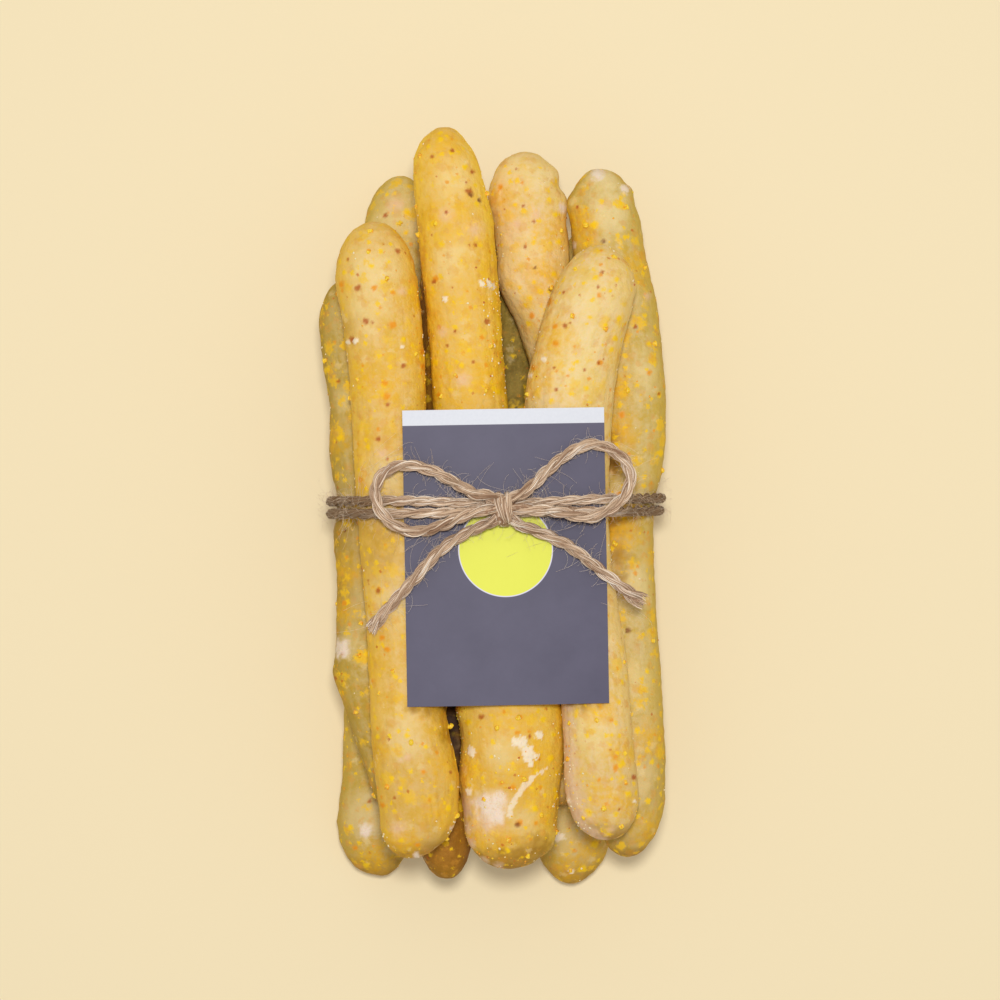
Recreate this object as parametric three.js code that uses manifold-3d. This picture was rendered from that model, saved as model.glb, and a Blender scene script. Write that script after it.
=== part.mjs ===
// A bundle of ten thick corn breadsticks, lying on its back: three on the table, four on
// those and three on top, tied round the middle with two turns of jute twine that end in a
// bow over a small paper card.
// Millimetres. +Y runs along the breadsticks, +X across them, +Z up from the table.

import * as THREE from 'three';
import { mergeVertices } from 'three/addons/utils/BufferGeometryUtils.js';
import Module from 'manifold-3d';

const wasm = await Module();
wasm.setup();

// ---------------------------------------------------------------- driving dimensions

const STICK_SIDES = 18;        // corners of a breadstick's section, so that a side faces down
const RING_STEP = 12;          // between two sections along a breadstick
const CAP_RINGS = 4;           // sections that round each end
const LUMP = 0.017;            // unevenness of the dough, as a share of its half width
const STICK_SPACE = 0.45;      // between breadsticks, over the lumps
const FLAT_DEPTH = 0.5;        // of the flats that the lowest breadsticks lie on

const TWINE = 3.2;             // thickness of the twine
const TWINE_SIDES = 8;
const TWINE_STEP = 4.2;        // between two sections along the twine
const TURN_SPACING = 3.6;      // between the two turns round the bundle
const TURN_MIDDLE = 2.1;       // where the two turns cross the middle of the bundle
const TURN_SLOPE = 0.01;       // the turns run slightly askew
const TURN_ANGLES = 64;        // directions in which a turn is laid against the bundle
const TWINE_REST = TWINE / 2 + 0.3; // from a surface to the middle of a twine lying on it
const TURN_REST = TWINE / 2 + 1.0;  // the same for the turns, which go round corners

const CARD = { x: 2.85, y: -11.3, width: 52.5, height: 77, thickness: 0.35, turn: 1.0, bow: 0.9 };
const CARD_LIFT = 0.35;        // air under the card
const CARD_COLUMNS = 10;
const CARD_ROWS = 5;

const KNOT = { x: 2.4, y: 1.6, halfWidth: 2.6, halfHeight: 3.4, halfDepth: 3.5 };
const KNOT_LIFT = 0.4;         // air under the knot
const KNOT_STRAND_SINK = 1.2;  // how deep the strand over the knot is pressed into it

const GRIT_SIZE = [0.65, 1.0]; // half length of a coarse grain of corn
const GRIT_CLEAR = 1.5;        // kept free between a grain and other pieces
const GRIT_SPACE = 6;          // at least this far from one grain to the next
const BOW_REACH = [-34, 23];   // the bow lies between these two places along Y

// Each breadstick has the stations of its middle line, from its lower end (-Y) to its upper
// end: place along Y, place along X, half width. The first and last are its tips.
// thick is its height as a share of its width at the lower and at the upper end, arch how far
// its middle bends up.
const STICKS = [
  {
    name: 'stick_bottom_left',
    stations: [
      [-100.7, -32.6, 9.6], [-83.2, -32.9, 10.4], [-72.6, -32.0, 9.8], [-37.5, -30.9, 9.8],
      [2.0, -29.0, 9.6], [58.2, -27.1, 9.8], [80.0, -26.0, 9.8], [92.1, -26.3, 9.2],
    ],
    caps: [16, 14],
    thick: [0.84, 0.8],
    arch: 6.3,
    colour: 0xd9c68c,
    grits: 9,
  },
  {
    name: 'stick_bottom_middle',
    stations: [
      [-92.3, 2.0, 9.0], [-78.6, 2.0, 9.6], [-51.2, 2.6, 9.8], [2.0, 4.1, 9.6],
      [58.2, 5.8, 9.6], [81.5, 6.4, 9.0],
    ],
    caps: [12, 12],
    thick: [0.88, 0.88],
    arch: 6.8,
    colour: 0xd3bd7f,
    grits: 0,
  },
  {
    name: 'stick_bottom_right',
    stations: [
      [-101.8, 21.0, 9.0], [-92.3, 21.7, 9.5], [-78.6, 22.3, 9.6], [-37.5, 23.4, 9.6],
      [2.0, 24.6, 9.5], [44.5, 26.2, 9.6], [78.7, 26.6, 8.6],
    ],
    caps: [13, 12],
    thick: [0.88, 0.86],
    arch: 7.0,
    colour: 0xdcc987,
    grits: 4,
  },
  {
    name: 'stick_middle_inner_left',
    stations: [
      [-98.3, -12.9, 7.0], [-85.0, -13.7, 7.8], [-77.1, -13.6, 8.5], [-50.2, -12.0, 9.0],
      [2.0, -11.8, 9.3], [43.8, -11.3, 9.3], [74.7, -10.7, 9.1], [86.8, -10.7, 8.8],
    ],
    caps: [12, 12],
    thick: [0.96, 1.04],
    arch: 0,
    colour: 0xcdb36c,
    grits: 0,
  },
  {
    name: 'stick_middle_inner_right',
    stations: [
      [-78.5, 17.4, 8.2], [-66.0, 17.2, 8.8], [-50.0, 16.4, 8.4], [-28.0, 15.4, 7.7],
      [2.0, 16.0, 7.4], [29.3, 16.6, 7.9], [43.5, 16.8, 7.5], [50.5, 14.3, 8.4],
      [57.5, 11.6, 9.4], [70.7, 10.5, 9.5], [81.4, 9.4, 9.6], [88.0, 8.6, 9.4],
      [96.7, 8.4, 9.0],
    ],
    caps: [12, 11],
    thick: [0.8, 0.9],
    arch: 0,
    colour: 0xe3cc85,
    grits: 10,
  },
  {
    name: 'stick_middle_left',
    stations: [
      [-84.0, -26.1, 4.8], [-75.5, -27.3, 5.7], [-68.5, -28.5, 6.3], [-63.1, -29.3, 7.2],
      [-55.0, -31.0, 8.7], [-46.0, -32.6, 10.0], [-20.7, -32.1, 10.1], [-5.9, -33.1, 10.1],
      [2.5, -33.0, 9.6], [10.3, -33.8, 10.2], [31.4, -34.7, 10.2], [41.1, -36.4, 10.1],
      [49.2, -37.3, 9.9], [63.7, -38.4, 8.6],
    ],
    caps: [18, 13],
    thick: [0.84, 0.84],
    arch: 0,
    colour: 0xdcc888,
    grits: 12,
  },
  {
    name: 'stick_middle_right',
    stations: [
      [-92.2, 35.4, 8.8], [-81.4, 35.7, 9.4], [-73.1, 36.3, 9.7], [-61.0, 36.3, 9.7],
      [-38.1, 35.2, 9.7], [-28.5, 34.1, 9.5], [-9.9, 33.3, 9.3], [2.5, 33.9, 9.2],
      [10.1, 35.1, 9.8], [30.4, 36.0, 9.9], [46.0, 34.9, 9.9], [58.9, 33.1, 9.9],
      [72.6, 30.0, 9.6], [85.7, 28.6, 8.9], [92.3, 28.4, 8.4],
    ],
    caps: [15, 11],
    thick: [0.86, 0.9],
    arch: 0,
    colour: 0xdfc983,
    grits: 14,
  },
  {
    name: 'stick_front_middle',
    stations: [
      [-93.8, 4.2, 11.8], [-83.0, 4.2, 12.4], [-71.2, 4.2, 13.0], [-50.4, 3.4, 13.6],
      [-36.0, 1.6, 12.2], [-22.8, -0.4, 11.2], [2.2, -3.4, 10.6], [28.7, -6.4, 9.9],
      [55.0, -8.5, 9.9], [67.1, -9.7, 10.0], [81.8, -11.0, 9.9], [91.3, -12.8, 8.9],
      [101.8, -12.9, 8.4],
    ],
    caps: [9, 12],
    thick: [0.74, 1.1],
    arch: 0,
    colour: 0xe4b85c,
    grits: 18,
  },
  {
    name: 'stick_front_left',
    stations: [
      [-90.6, -22.2, 9.9], [-78.8, -19.9, 10.4], [-67.7, -20.7, 10.8], [-51.2, -22.4, 10.3],
      [-29.4, -23.6, 10.3], [8.0, -26.8, 10.0], [29.8, -28.1, 9.7], [45.0, -28.9, 10.3],
      [55.0, -30.3, 10.9], [63.2, -31.4, 10.9], [76.9, -31.8, 10.4],
    ],
    caps: [12, 15],
    thick: [0.84, 0.88],
    arch: 0,
    colour: 0xe6bf6c,
    grits: 14,
  },
  {
    name: 'stick_front_right',
    stations: [
      [-86.1, 29.5, 9.2], [-74.1, 28.2, 9.7], [-64.1, 27.5, 9.3], [-52.8, 26.8, 9.1],
      [-37.2, 24.7, 9.9], [-27.3, 22.4, 10.4], [-10.4, 19.8, 10.6], [2.2, 19.2, 10.8],
      [14.0, 19.1, 11.1], [28.7, 19.1, 11.7], [36.4, 20.3, 11.8], [48.2, 22.9, 11.6],
      [57.7, 25.9, 11.2], [63.2, 27.0, 10.4], [70.5, 27.2, 9.6],
    ],
    caps: [13, 12],
    thick: [0.88, 0.84],
    arch: 0,
    colour: 0xe8c877,
    grits: 14,
  },
];

// Routes of the free ends of the bow (x, y, z), from the knot outwards.
const LOOP_LEFT = [
  [-1.6, 4.6, 61.5], [-5.1, 5.0, 61.6], [-8.2, 6.7, 61.0], [-11.3, 8.5, 59.1], [-15.0, 10.5, 58.4],
  [-19.1, 11.9, 58.2], [-23.3, 12.5, 58.1], [-26.9, 11.7, 58.1], [-29.5, 9.7, 58.5], [-30.8, 6.9, 59.4],
  [-30.8, 3.8, 60.0], [-29.8, 0.9, 60.5], [-27.5, -1.8, 60.2], [-24.0, -3.9, 58.7], [-20.2, -4.7, 58.2],
  [-16.3, -4.0, 58.5], [-12.4, -2.6, 59.8], [-8.7, -0.9, 61.5], [-5.4, 0.4, 61.8], [-1.5, 1.1, 61.9],
];
const LOOP_RIGHT = [
  [6.3, 4.8, 61.3], [8.3, 6.1, 60.9], [10.4, 7.9, 59.9], [13.3, 10.8, 58.6], [16.4, 13.6, 57.8],
  [19.5, 15.8, 57.2], [22.6, 17.4, 56.8], [25.8, 18.0, 56.4], [28.9, 17.3, 56.1], [31.7, 15.7, 56.0],
  [34.1, 13.2, 55.9], [35.2, 10.1, 56.1], [34.8, 6.9, 57.0], [33.1, 4.0, 58.5], [30.7, 1.8, 59.9],
  [27.7, 0.0, 60.4], [24.6, -1.0, 60.3], [21.3, -0.6, 60.6], [18.1, 0.1, 60.9], [14.8, 0.7, 61.1],
  [11.7, 0.9, 61.2], [8.6, 1.0, 61.4], [6.3, 1.2, 61.5],
];
const TAIL_LEFT = [
  [-1.2, -2.4, 60.3], [-3.3, -3.2, 60.0], [-5.4, -4.1, 59.4], [-7.5, -5.2, 58.8], [-9.5, -6.3, 58.4],
  [-11.6, -7.6, 58.2], [-13.7, -9.2, 58.2], [-15.7, -11.1, 58.2], [-17.8, -13.5, 58.2], [-19.9, -15.9, 58.1],
  [-22.0, -18.3, 57.9], [-24.1, -20.6, 57.4], [-26.2, -23.0, 56.7], [-28.3, -25.3, 55.9], [-30.4, -27.8, 55.0],
  [-32.2, -30.2, 54.2],
];
const TAIL_RIGHT = [
  [5.9, -2.7, 60.0], [8.1, -3.5, 59.3], [10.4, -4.4, 58.6], [12.8, -5.3, 58.0], [15.1, -6.4, 57.5],
  [17.4, -7.5, 57.2], [19.8, -8.8, 57.0], [22.1, -10.5, 56.9], [24.4, -12.3, 56.8], [26.8, -14.3, 56.7],
  [29.1, -16.1, 56.5], [31.5, -17.9, 56.1], [33.8, -19.8, 55.5], [36.2, -21.5, 54.8], [38.3, -23.0, 54.2],
];

// ---------------------------------------------------------------- common tools

// A repeatable stream of numbers from 0 to 1.
function randomFrom(seed) {
  let state = seed >>> 0;
  return () => {
    state = (state + 0x6d2b79f5) >>> 0;
    let t = Math.imul(state ^ (state >>> 15), 1 | state);
    t = (t + Math.imul(t ^ (t >>> 7), 61 | t)) ^ t;
    return ((t ^ (t >>> 14)) >>> 0) / 4294967296;
  };
}

// The same closed surface with its corners shared between faces.
function welded(geometry) {
  const bare = geometry.index ? geometry.toNonIndexed() : geometry.clone();
  bare.deleteAttribute('normal');
  bare.deleteAttribute('uv');
  return mergeVertices(bare, 1e-4);
}

function toManifold(geometry) {
  const closed = welded(geometry);
  return new wasm.Manifold(new wasm.Mesh({
    numProp: 3,
    vertProperties: new Float32Array(closed.attributes.position.array),
    triVerts: new Uint32Array(closed.index.array),
  }));
}

function toGeometry(manifold) {
  const mesh = manifold.getMesh();
  const geometry = new THREE.BufferGeometry();
  geometry.setAttribute('position', new THREE.BufferAttribute(mesh.vertProperties, 3));
  geometry.setIndex(new THREE.BufferAttribute(mesh.triVerts, 1));
  return geometry;
}

function fused(geometries) {
  const solids = geometries.map(toManifold);
  return toGeometry(solids.reduce((whole, solid) => whole.add(solid)));
}

function material(colour, roughness) {
  return new THREE.MeshStandardMaterial({ color: colour, roughness, metalness: 0, flatShading: true });
}

function named(name, geometry, finish) {
  const mesh = new THREE.Mesh(geometry, finish);
  mesh.name = name;
  return mesh;
}

// ---------------------------------------------------------------- breadsticks

// The stations as one smooth curve whose third coordinate carries the half width.
function middleLine(stick) {
  const points = stick.stations.map(([y, x, halfWidth]) => new THREE.Vector3(x, y, halfWidth));
  const curve = new THREE.CatmullRomCurve3(points, false, 'centripetal');
  return curve.getPoints(12 * points.length);
}

function ends(stick) {
  return [stick.stations[0][0], stick.stations.at(-1)[0]];
}

// How far a section is drawn in by the rounding of the ends, from 0 at a tip to 1.
function endShare(stick, y) {
  const [low, high] = ends(stick);
  const share = (distance, cap) => {
    const inside = 1 - THREE.MathUtils.clamp(distance / cap, 0, 1);
    return Math.sqrt(Math.max(0, 1 - inside * inside));
  };
  return Math.min(share(y - low, stick.caps[0]), share(high - y, stick.caps[1]));
}

// Middle and half sizes of the section at y, before the ends are rounded.
function sectionAt(stick, y) {
  const line = stick.line;
  let next = line.findIndex((point) => point.y >= y);
  if (next < 1) next = next === 0 ? 1 : line.length - 1;
  const [a, b] = [line[next - 1], line[next]];
  const share = THREE.MathUtils.clamp((y - a.y) / (b.y - a.y), 0, 1);
  const halfWidth = THREE.MathUtils.lerp(a.z, b.z, share);
  const thick = THREE.MathUtils.mapLinear(y, ...ends(stick), ...stick.thick);
  return { x: THREE.MathUtils.lerp(a.x, b.x, share), halfWidth, halfHeight: halfWidth * thick };
}

// The section at y with its rounding and its height: an oval round (x, z).
function ovalAt(stick, y) {
  const { x, halfWidth, halfHeight } = sectionAt(stick, y);
  const share = endShare(stick, y);
  return { x, z: heightAt(stick, y), halfWidth: halfWidth * share, halfHeight: halfHeight * share };
}

function archAt(stick, y) {
  const [low, high] = ends(stick);
  const fromMiddle = (2 * y - low - high) / (high - low);
  return stick.arch * (1 - fromMiddle * fromMiddle);
}

function heightAt(stick, y) {
  return stick.base + stick.slope * y + archAt(stick, y);
}

// The lowest height at y that keeps a breadstick clear of the table and of those below it.
function lowestAt(stick, below, y) {
  const own = ovalAt(stick, y);
  let lowest = own.halfHeight - FLAT_DEPTH;
  for (const other of below) {
    const [low, high] = ends(other);
    if (y <= low || y >= high) continue;
    const oval = ovalAt(other, y);
    const across = (own.x - oval.x) / (own.halfWidth + oval.halfWidth + STICK_SPACE);
    if (Math.abs(across) >= 1) continue;
    const rise = own.halfHeight + oval.halfHeight + STICK_SPACE;
    lowest = Math.max(lowest, oval.z + rise * Math.sqrt(1 - across * across));
  }
  return lowest - archAt(stick, y);
}

// Lowers a breadstick until it rests: of all straight lines over the lowest heights, the one
// whose middle is lowest.
function settle(stick, below) {
  stick.base = 0;
  stick.slope = 0;
  const [low, high] = ends(stick);
  const places = Array.from({ length: 61 }, (_, i) => low + ((high - low) * (i + 0.5)) / 61);
  const lowest = places.map((y) => lowestAt(stick, below, y));
  const middle = (low + high) / 2;
  let best = Infinity;
  for (let slope = -0.06; slope <= 0.06; slope += 0.001) {
    const base = Math.max(...places.map((y, i) => lowest[i] - slope * y));
    if (base + slope * middle < best) {
      best = base + slope * middle;
      stick.base = base;
      stick.slope = slope;
    }
  }
}

// Sections closer together where an end is rounded.
function ringPlaces(stick) {
  const [low, high] = ends(stick);
  const capPlaces = (tip, cap, direction) => Array.from({ length: CAP_RINGS }, (_, i) => {
    const turn = ((i + 1) / (CAP_RINGS + 1)) * (Math.PI / 2);
    return tip + direction * cap * (1 - Math.cos(turn));
  });
  const bodyLow = low + stick.caps[0];
  const bodyHigh = high - stick.caps[1];
  const rings = Math.round((bodyHigh - bodyLow) / RING_STEP);
  const body = Array.from({ length: rings + 1 }, (_, i) => bodyLow + ((bodyHigh - bodyLow) * i) / rings);
  return [
    ...capPlaces(low, stick.caps[0], 1),
    ...body,
    ...capPlaces(high, stick.caps[1], -1).reverse(),
  ];
}

// The dough's unevenness at y and at an angle round the section.
function lumpAt(stick, y, angle) {
  const [a, b, c] = stick.phases;
  return LUMP * (Math.sin(2 * angle + y / 15 + a) + Math.sin(3 * angle - y / 10 + b)
    + Math.sin(y / 7 + c)) / 2;
}

// A round bar turned on a lathe, then widened, flattened and bent to the breadstick's form.
function stickBody(stick) {
  const [low, high] = ends(stick);
  const profile = [
    new THREE.Vector2(0, low),
    ...ringPlaces(stick).map((y) => new THREE.Vector2(endShare(stick, y), y)),
    new THREE.Vector2(0, high),
  ];
  const geometry = new THREE.LatheGeometry(profile, STICK_SIDES, Math.PI / 2);
  const place = geometry.attributes.position;
  for (let i = 0; i < place.count; i += 1) {
    const y = place.getY(i);
    const { x, halfWidth, halfHeight } = sectionAt(stick, y);
    const angle = Math.atan2(place.getZ(i), place.getX(i));
    const swell = 1 + lumpAt(stick, y, angle);
    const z = heightAt(stick, y) + place.getZ(i) * halfHeight * swell;
    place.setXYZ(i, x + place.getX(i) * halfWidth * swell, y, Math.max(z, 0));
  }
  return geometry;
}

// True where a grain of corn at this point would be clear of the card, the twine and every
// other breadstick.
function isFree(stick, point) {
  const underCard = Math.abs(point.x - CARD.x) < CARD.width / 2 + 2 * GRIT_CLEAR
    && Math.abs(point.y - CARD.y) < CARD.height / 2 + 2 * GRIT_CLEAR;
  const underBow = point.y > BOW_REACH[0] && point.y < BOW_REACH[1];
  if (stick.name.startsWith('stick_front') && (underCard || underBow)) return false;
  if (Math.abs(point.y - TURN_MIDDLE) < TURN_SPACING + TWINE) return false;
  return STICKS.every((other) => {
    const [low, high] = ends(other);
    if (other === stick || point.y < low - GRIT_CLEAR || point.y > high + GRIT_CLEAR) return true;
    const oval = ovalAt(other, point.y);
    const across = (point.x - oval.x) / (oval.halfWidth + GRIT_CLEAR);
    const up = (point.z - oval.z) / (oval.halfHeight + GRIT_CLEAR);
    return across * across + up * up > 1;
  });
}

// Coarse grains of corn half sunk in the crust, on the side that shows.
function gritsOn(stick, random) {
  const [low, high] = ends(stick);
  const grits = [];
  for (let tries = 0; grits.length < stick.grits && tries < 4000; tries += 1) {
    const y = THREE.MathUtils.lerp(low + 3, high - 3, random());
    const angle = Math.PI * (0.02 + 0.96 * random());
    const half = THREE.MathUtils.lerp(...GRIT_SIZE, random());
    const oval = ovalAt(stick, y);
    const swell = 1 + lumpAt(stick, y, angle);
    const point = new THREE.Vector3(
      oval.x + Math.cos(angle) * oval.halfWidth * swell,
      y,
      oval.z + Math.sin(angle) * oval.halfHeight * swell,
    );
    const near = grits.some((other) => other.point.distanceTo(point) < GRIT_SPACE);
    if (near || !isFree(stick, point)) continue;
    const grain = new THREE.OctahedronGeometry(half);
    grain.scale(0.8, 1.15, 0.8);
    grain.rotateY(random() * Math.PI);
    grain.rotateZ(random() * Math.PI);
    grain.translate(point.x, point.y, point.z);
    grits.push({ point, grain });
  }
  return grits.map(({ grain }) => grain);
}

function buildSticks() {
  STICKS.forEach((stick, i) => {
    const random = randomFrom(101 + i);
    stick.phases = [random(), random(), random()].map((share) => share * 2 * Math.PI);
    stick.line = middleLine(stick);
    settle(stick, STICKS.slice(0, i));
  });
  return STICKS.map((stick, i) => {
    const parts = [stickBody(stick), ...gritsOn(stick, randomFrom(501 + i))];
    return named(stick.name, fused(parts), material(stick.colour, 0.62));
  });
}

// ---------------------------------------------------------------- card

// The card bows down a little towards its two long sides.
function cardBow(across) {
  const share = (2 * across) / CARD.width;
  return -CARD.bow * share * share;
}

// The tops of the breadsticks under the card, as points a step apart.
function topsUnderCard() {
  const tops = [];
  for (let across = -0.5; across <= 0.5; across += 0.025) {
    for (let along = -0.5; along <= 0.5; along += 0.025) {
      const x = across * CARD.width;
      const y = CARD.y + along * CARD.height;
      for (const stick of STICKS) {
        const [low, high] = ends(stick);
        if (y <= low || y >= high) continue;
        const oval = ovalAt(stick, y);
        const side = (CARD.x + x - oval.x) / oval.halfWidth;
        if (Math.abs(side) >= 1) continue;
        const crest = oval.halfHeight * (1 + LUMP) * Math.sqrt(1 - side * side);
        tops.push(new THREE.Vector3(x, along * CARD.height, oval.z + crest - cardBow(x)));
      }
    }
  }
  return tops;
}

// Lays the card on the breadsticks: of all planes over their tops, the lowest one.
function layCard() {
  const tops = topsUnderCard();
  CARD.base = Infinity;
  for (let slopeX = -0.05; slopeX <= 0.05; slopeX += 0.005) {
    for (let slopeY = -0.08; slopeY <= 0.08; slopeY += 0.005) {
      const base = Math.max(...tops.map((top) => top.z - slopeX * top.x - slopeY * top.y));
      if (base < CARD.base) Object.assign(CARD, { base, slopeX, slopeY });
    }
  }
  CARD.base += CARD_LIFT + CARD.thickness;
}

// Height of the card's face at a distance from its middle.
function faceAt(x, y) {
  return CARD.base + CARD.slopeX * x + CARD.slopeY * y + cardBow(x);
}

function buildCard() {
  const geometry = new THREE.BoxGeometry(
    CARD.width, CARD.height, CARD.thickness, CARD_COLUMNS, CARD_ROWS, 1,
  );
  const place = geometry.attributes.position;
  for (let i = 0; i < place.count; i += 1) {
    const [x, y] = [place.getX(i), place.getY(i)];
    place.setZ(i, place.getZ(i) + faceAt(x, y) - CARD.thickness / 2);
  }
  geometry.rotateZ(THREE.MathUtils.degToRad(CARD.turn));
  geometry.translate(CARD.x, CARD.y, 0);
  return named('card', welded(geometry), material(0x67637a, 0.55));
}

// ---------------------------------------------------------------- twine

function twineAlong(points) {
  const path = new THREE.CatmullRomCurve3(points, false, 'centripetal');
  const corners = Array.from({ length: TWINE_SIDES }, (_, i) => {
    const angle = (i * 2 * Math.PI) / TWINE_SIDES;
    return new THREE.Vector2(Math.cos(angle), Math.sin(angle)).multiplyScalar(TWINE / 2);
  });
  return new THREE.ExtrudeGeometry(new THREE.Shape(corners), {
    extrudePath: path,
    steps: Math.ceil(path.getLength() / TWINE_STEP),
    bevelEnabled: false,
  });
}

// The point of an oval, grown by the twine's rest, that lies furthest in a direction.
function furthestOnOval(oval, direction) {
  const across = oval.halfWidth * oval.halfWidth * direction.x;
  const up = oval.halfHeight * oval.halfHeight * direction.y;
  const reach = Math.hypot(oval.halfWidth * direction.x, oval.halfHeight * direction.y);
  return new THREE.Vector2(oval.x + across / reach, oval.z + up / reach);
}

// The route of one taut turn, from the knot round the back of the bundle to the knot again.
function turnRoute(offset) {
  const along = TURN_MIDDLE + offset;
  const ovals = STICKS.map((stick) => ovalAt(stick, along));
  const cardPoints = [-0.5, -0.25, 0, 0.25, 0.5].map((share) => {
    const x = share * CARD.width;
    return new THREE.Vector2(CARD.x + x, faceAt(x, along - CARD.y));
  });
  const knotHeight = faceAt(KNOT.x - CARD.x, KNOT.y - CARD.y) + TWINE_REST;
  const knotPlace = KNOT.y + offset * 0.6;
  const route = [new THREE.Vector3(KNOT.x - 0.6, knotPlace, knotHeight)];
  for (let i = 1; i < TURN_ANGLES; i += 1) {
    const angle = Math.PI / 2 + (i * 2 * Math.PI) / TURN_ANGLES;
    const direction = new THREE.Vector2(Math.cos(angle), Math.sin(angle));
    const touches = [...ovals.map((oval) => furthestOnOval(oval, direction)), ...cardPoints];
    const furthest = touches.reduce((a, b) => (b.dot(direction) > a.dot(direction) ? b : a));
    const point = furthest.clone().addScaledVector(direction, TURN_REST);
    const next = new THREE.Vector3(point.x, along + TURN_SLOPE * point.x, point.y);
    if (next.distanceTo(route.at(-1)) > 0.4 * TWINE) route.push(next);
  }
  route.push(new THREE.Vector3(KNOT.x + 0.6, knotPlace, knotHeight));
  return route;
}

// The knot is a ball of crossing strands with one strand drawn over it lengthwise.
function knotParts() {
  const middle = faceAt(KNOT.x - CARD.x, KNOT.y - CARD.y) + KNOT_LIFT + KNOT.halfDepth;
  const core = new THREE.SphereGeometry(1, 14, 10);
  core.scale(KNOT.halfWidth, KNOT.halfHeight, KNOT.halfDepth);
  core.translate(KNOT.x, KNOT.y, middle);
  const strand = [-75, -50, -25, 0, 25, 50, 75].map((degrees) => {
    const angle = THREE.MathUtils.degToRad(degrees);
    return new THREE.Vector3(
      KNOT.x + 0.35 * Math.sin(angle),
      KNOT.y + (KNOT.halfHeight + 0.4 - KNOT_STRAND_SINK) * Math.sin(angle),
      middle + (KNOT.halfDepth - KNOT_STRAND_SINK) * Math.cos(angle),
    );
  });
  return [core, twineAlong(strand)];
}

function buildTwine() {
  const finish = material(0xc4a477, 0.9);
  const turns = [TURN_SPACING / 2, -TURN_SPACING / 2].map(turnRoute);
  const held = fused([...knotParts(), ...turns.map(twineAlong)]);
  const free = (name, route) => {
    const points = route.map((place) => new THREE.Vector3(...place));
    return named(name, welded(twineAlong(points)), finish);
  };
  return [
    named('twine_turns_and_knot', held, finish),
    free('bow_loop_left', LOOP_LEFT),
    free('bow_loop_right', LOOP_RIGHT),
    free('bow_tail_left', TAIL_LEFT),
    free('bow_tail_right', TAIL_RIGHT),
  ];
}

// ---------------------------------------------------------------- the bundle

const bundle = new THREE.Group();
bundle.add(...buildSticks());
layCard();
bundle.add(buildCard(), ...buildTwine());

export default bundle;
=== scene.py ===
import math
from functools import reduce

import bmesh
import bpy
import numpy as np
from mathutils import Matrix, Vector


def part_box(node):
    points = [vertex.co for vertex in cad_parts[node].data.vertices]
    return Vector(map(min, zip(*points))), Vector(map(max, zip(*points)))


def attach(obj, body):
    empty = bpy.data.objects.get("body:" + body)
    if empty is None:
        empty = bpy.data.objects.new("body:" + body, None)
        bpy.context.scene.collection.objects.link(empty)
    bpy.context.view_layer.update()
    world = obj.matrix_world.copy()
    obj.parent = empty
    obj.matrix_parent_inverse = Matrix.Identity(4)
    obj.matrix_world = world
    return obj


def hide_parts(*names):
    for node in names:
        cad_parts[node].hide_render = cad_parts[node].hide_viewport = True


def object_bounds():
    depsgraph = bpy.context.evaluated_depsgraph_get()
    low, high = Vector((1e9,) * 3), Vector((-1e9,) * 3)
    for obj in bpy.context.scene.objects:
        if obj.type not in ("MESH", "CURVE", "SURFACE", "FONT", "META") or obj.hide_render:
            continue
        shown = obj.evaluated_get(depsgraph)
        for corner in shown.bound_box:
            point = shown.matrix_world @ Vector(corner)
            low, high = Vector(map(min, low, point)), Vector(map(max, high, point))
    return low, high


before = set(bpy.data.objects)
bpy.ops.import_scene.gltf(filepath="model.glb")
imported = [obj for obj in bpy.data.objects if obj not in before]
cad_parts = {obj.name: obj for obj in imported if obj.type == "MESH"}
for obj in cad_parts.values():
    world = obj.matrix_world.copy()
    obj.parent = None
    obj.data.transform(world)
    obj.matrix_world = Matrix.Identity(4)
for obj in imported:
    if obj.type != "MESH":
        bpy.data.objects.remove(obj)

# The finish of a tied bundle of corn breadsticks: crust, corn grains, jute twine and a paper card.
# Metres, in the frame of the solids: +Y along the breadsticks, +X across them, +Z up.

MM = 0.001
CAD_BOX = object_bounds()
SCENE = bpy.context.scene


# ------------------------------------------------------------------ camera

CAMERA_PLACE = (0.00135, 0.0035, 0.955)
CAMERA_LENS = 124.6
CAMERA_REACH = 10.0


def place_camera():
    """A camera straight above the bundle, with +Y up in its picture."""
    data = bpy.data.cameras.new("camera")
    data.lens = CAMERA_LENS
    data.clip_end = CAMERA_REACH
    camera = bpy.data.objects.new("camera", data)
    camera.location = CAMERA_PLACE
    SCENE.collection.objects.link(camera)
    SCENE.camera = camera


place_camera()


# ------------------------------------------------------------------ wiring of nodes


def colour(red, green, blue):
    """A display colour, 0 to 255, as the linear colour that shaders take."""
    parts = [c / 255 for c in (red, green, blue)]
    linear = [c / 12.92 if c <= 0.04045 else ((c + 0.055) / 1.055) ** 2.4 for c in parts]
    return (*linear, 1.0)


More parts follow.
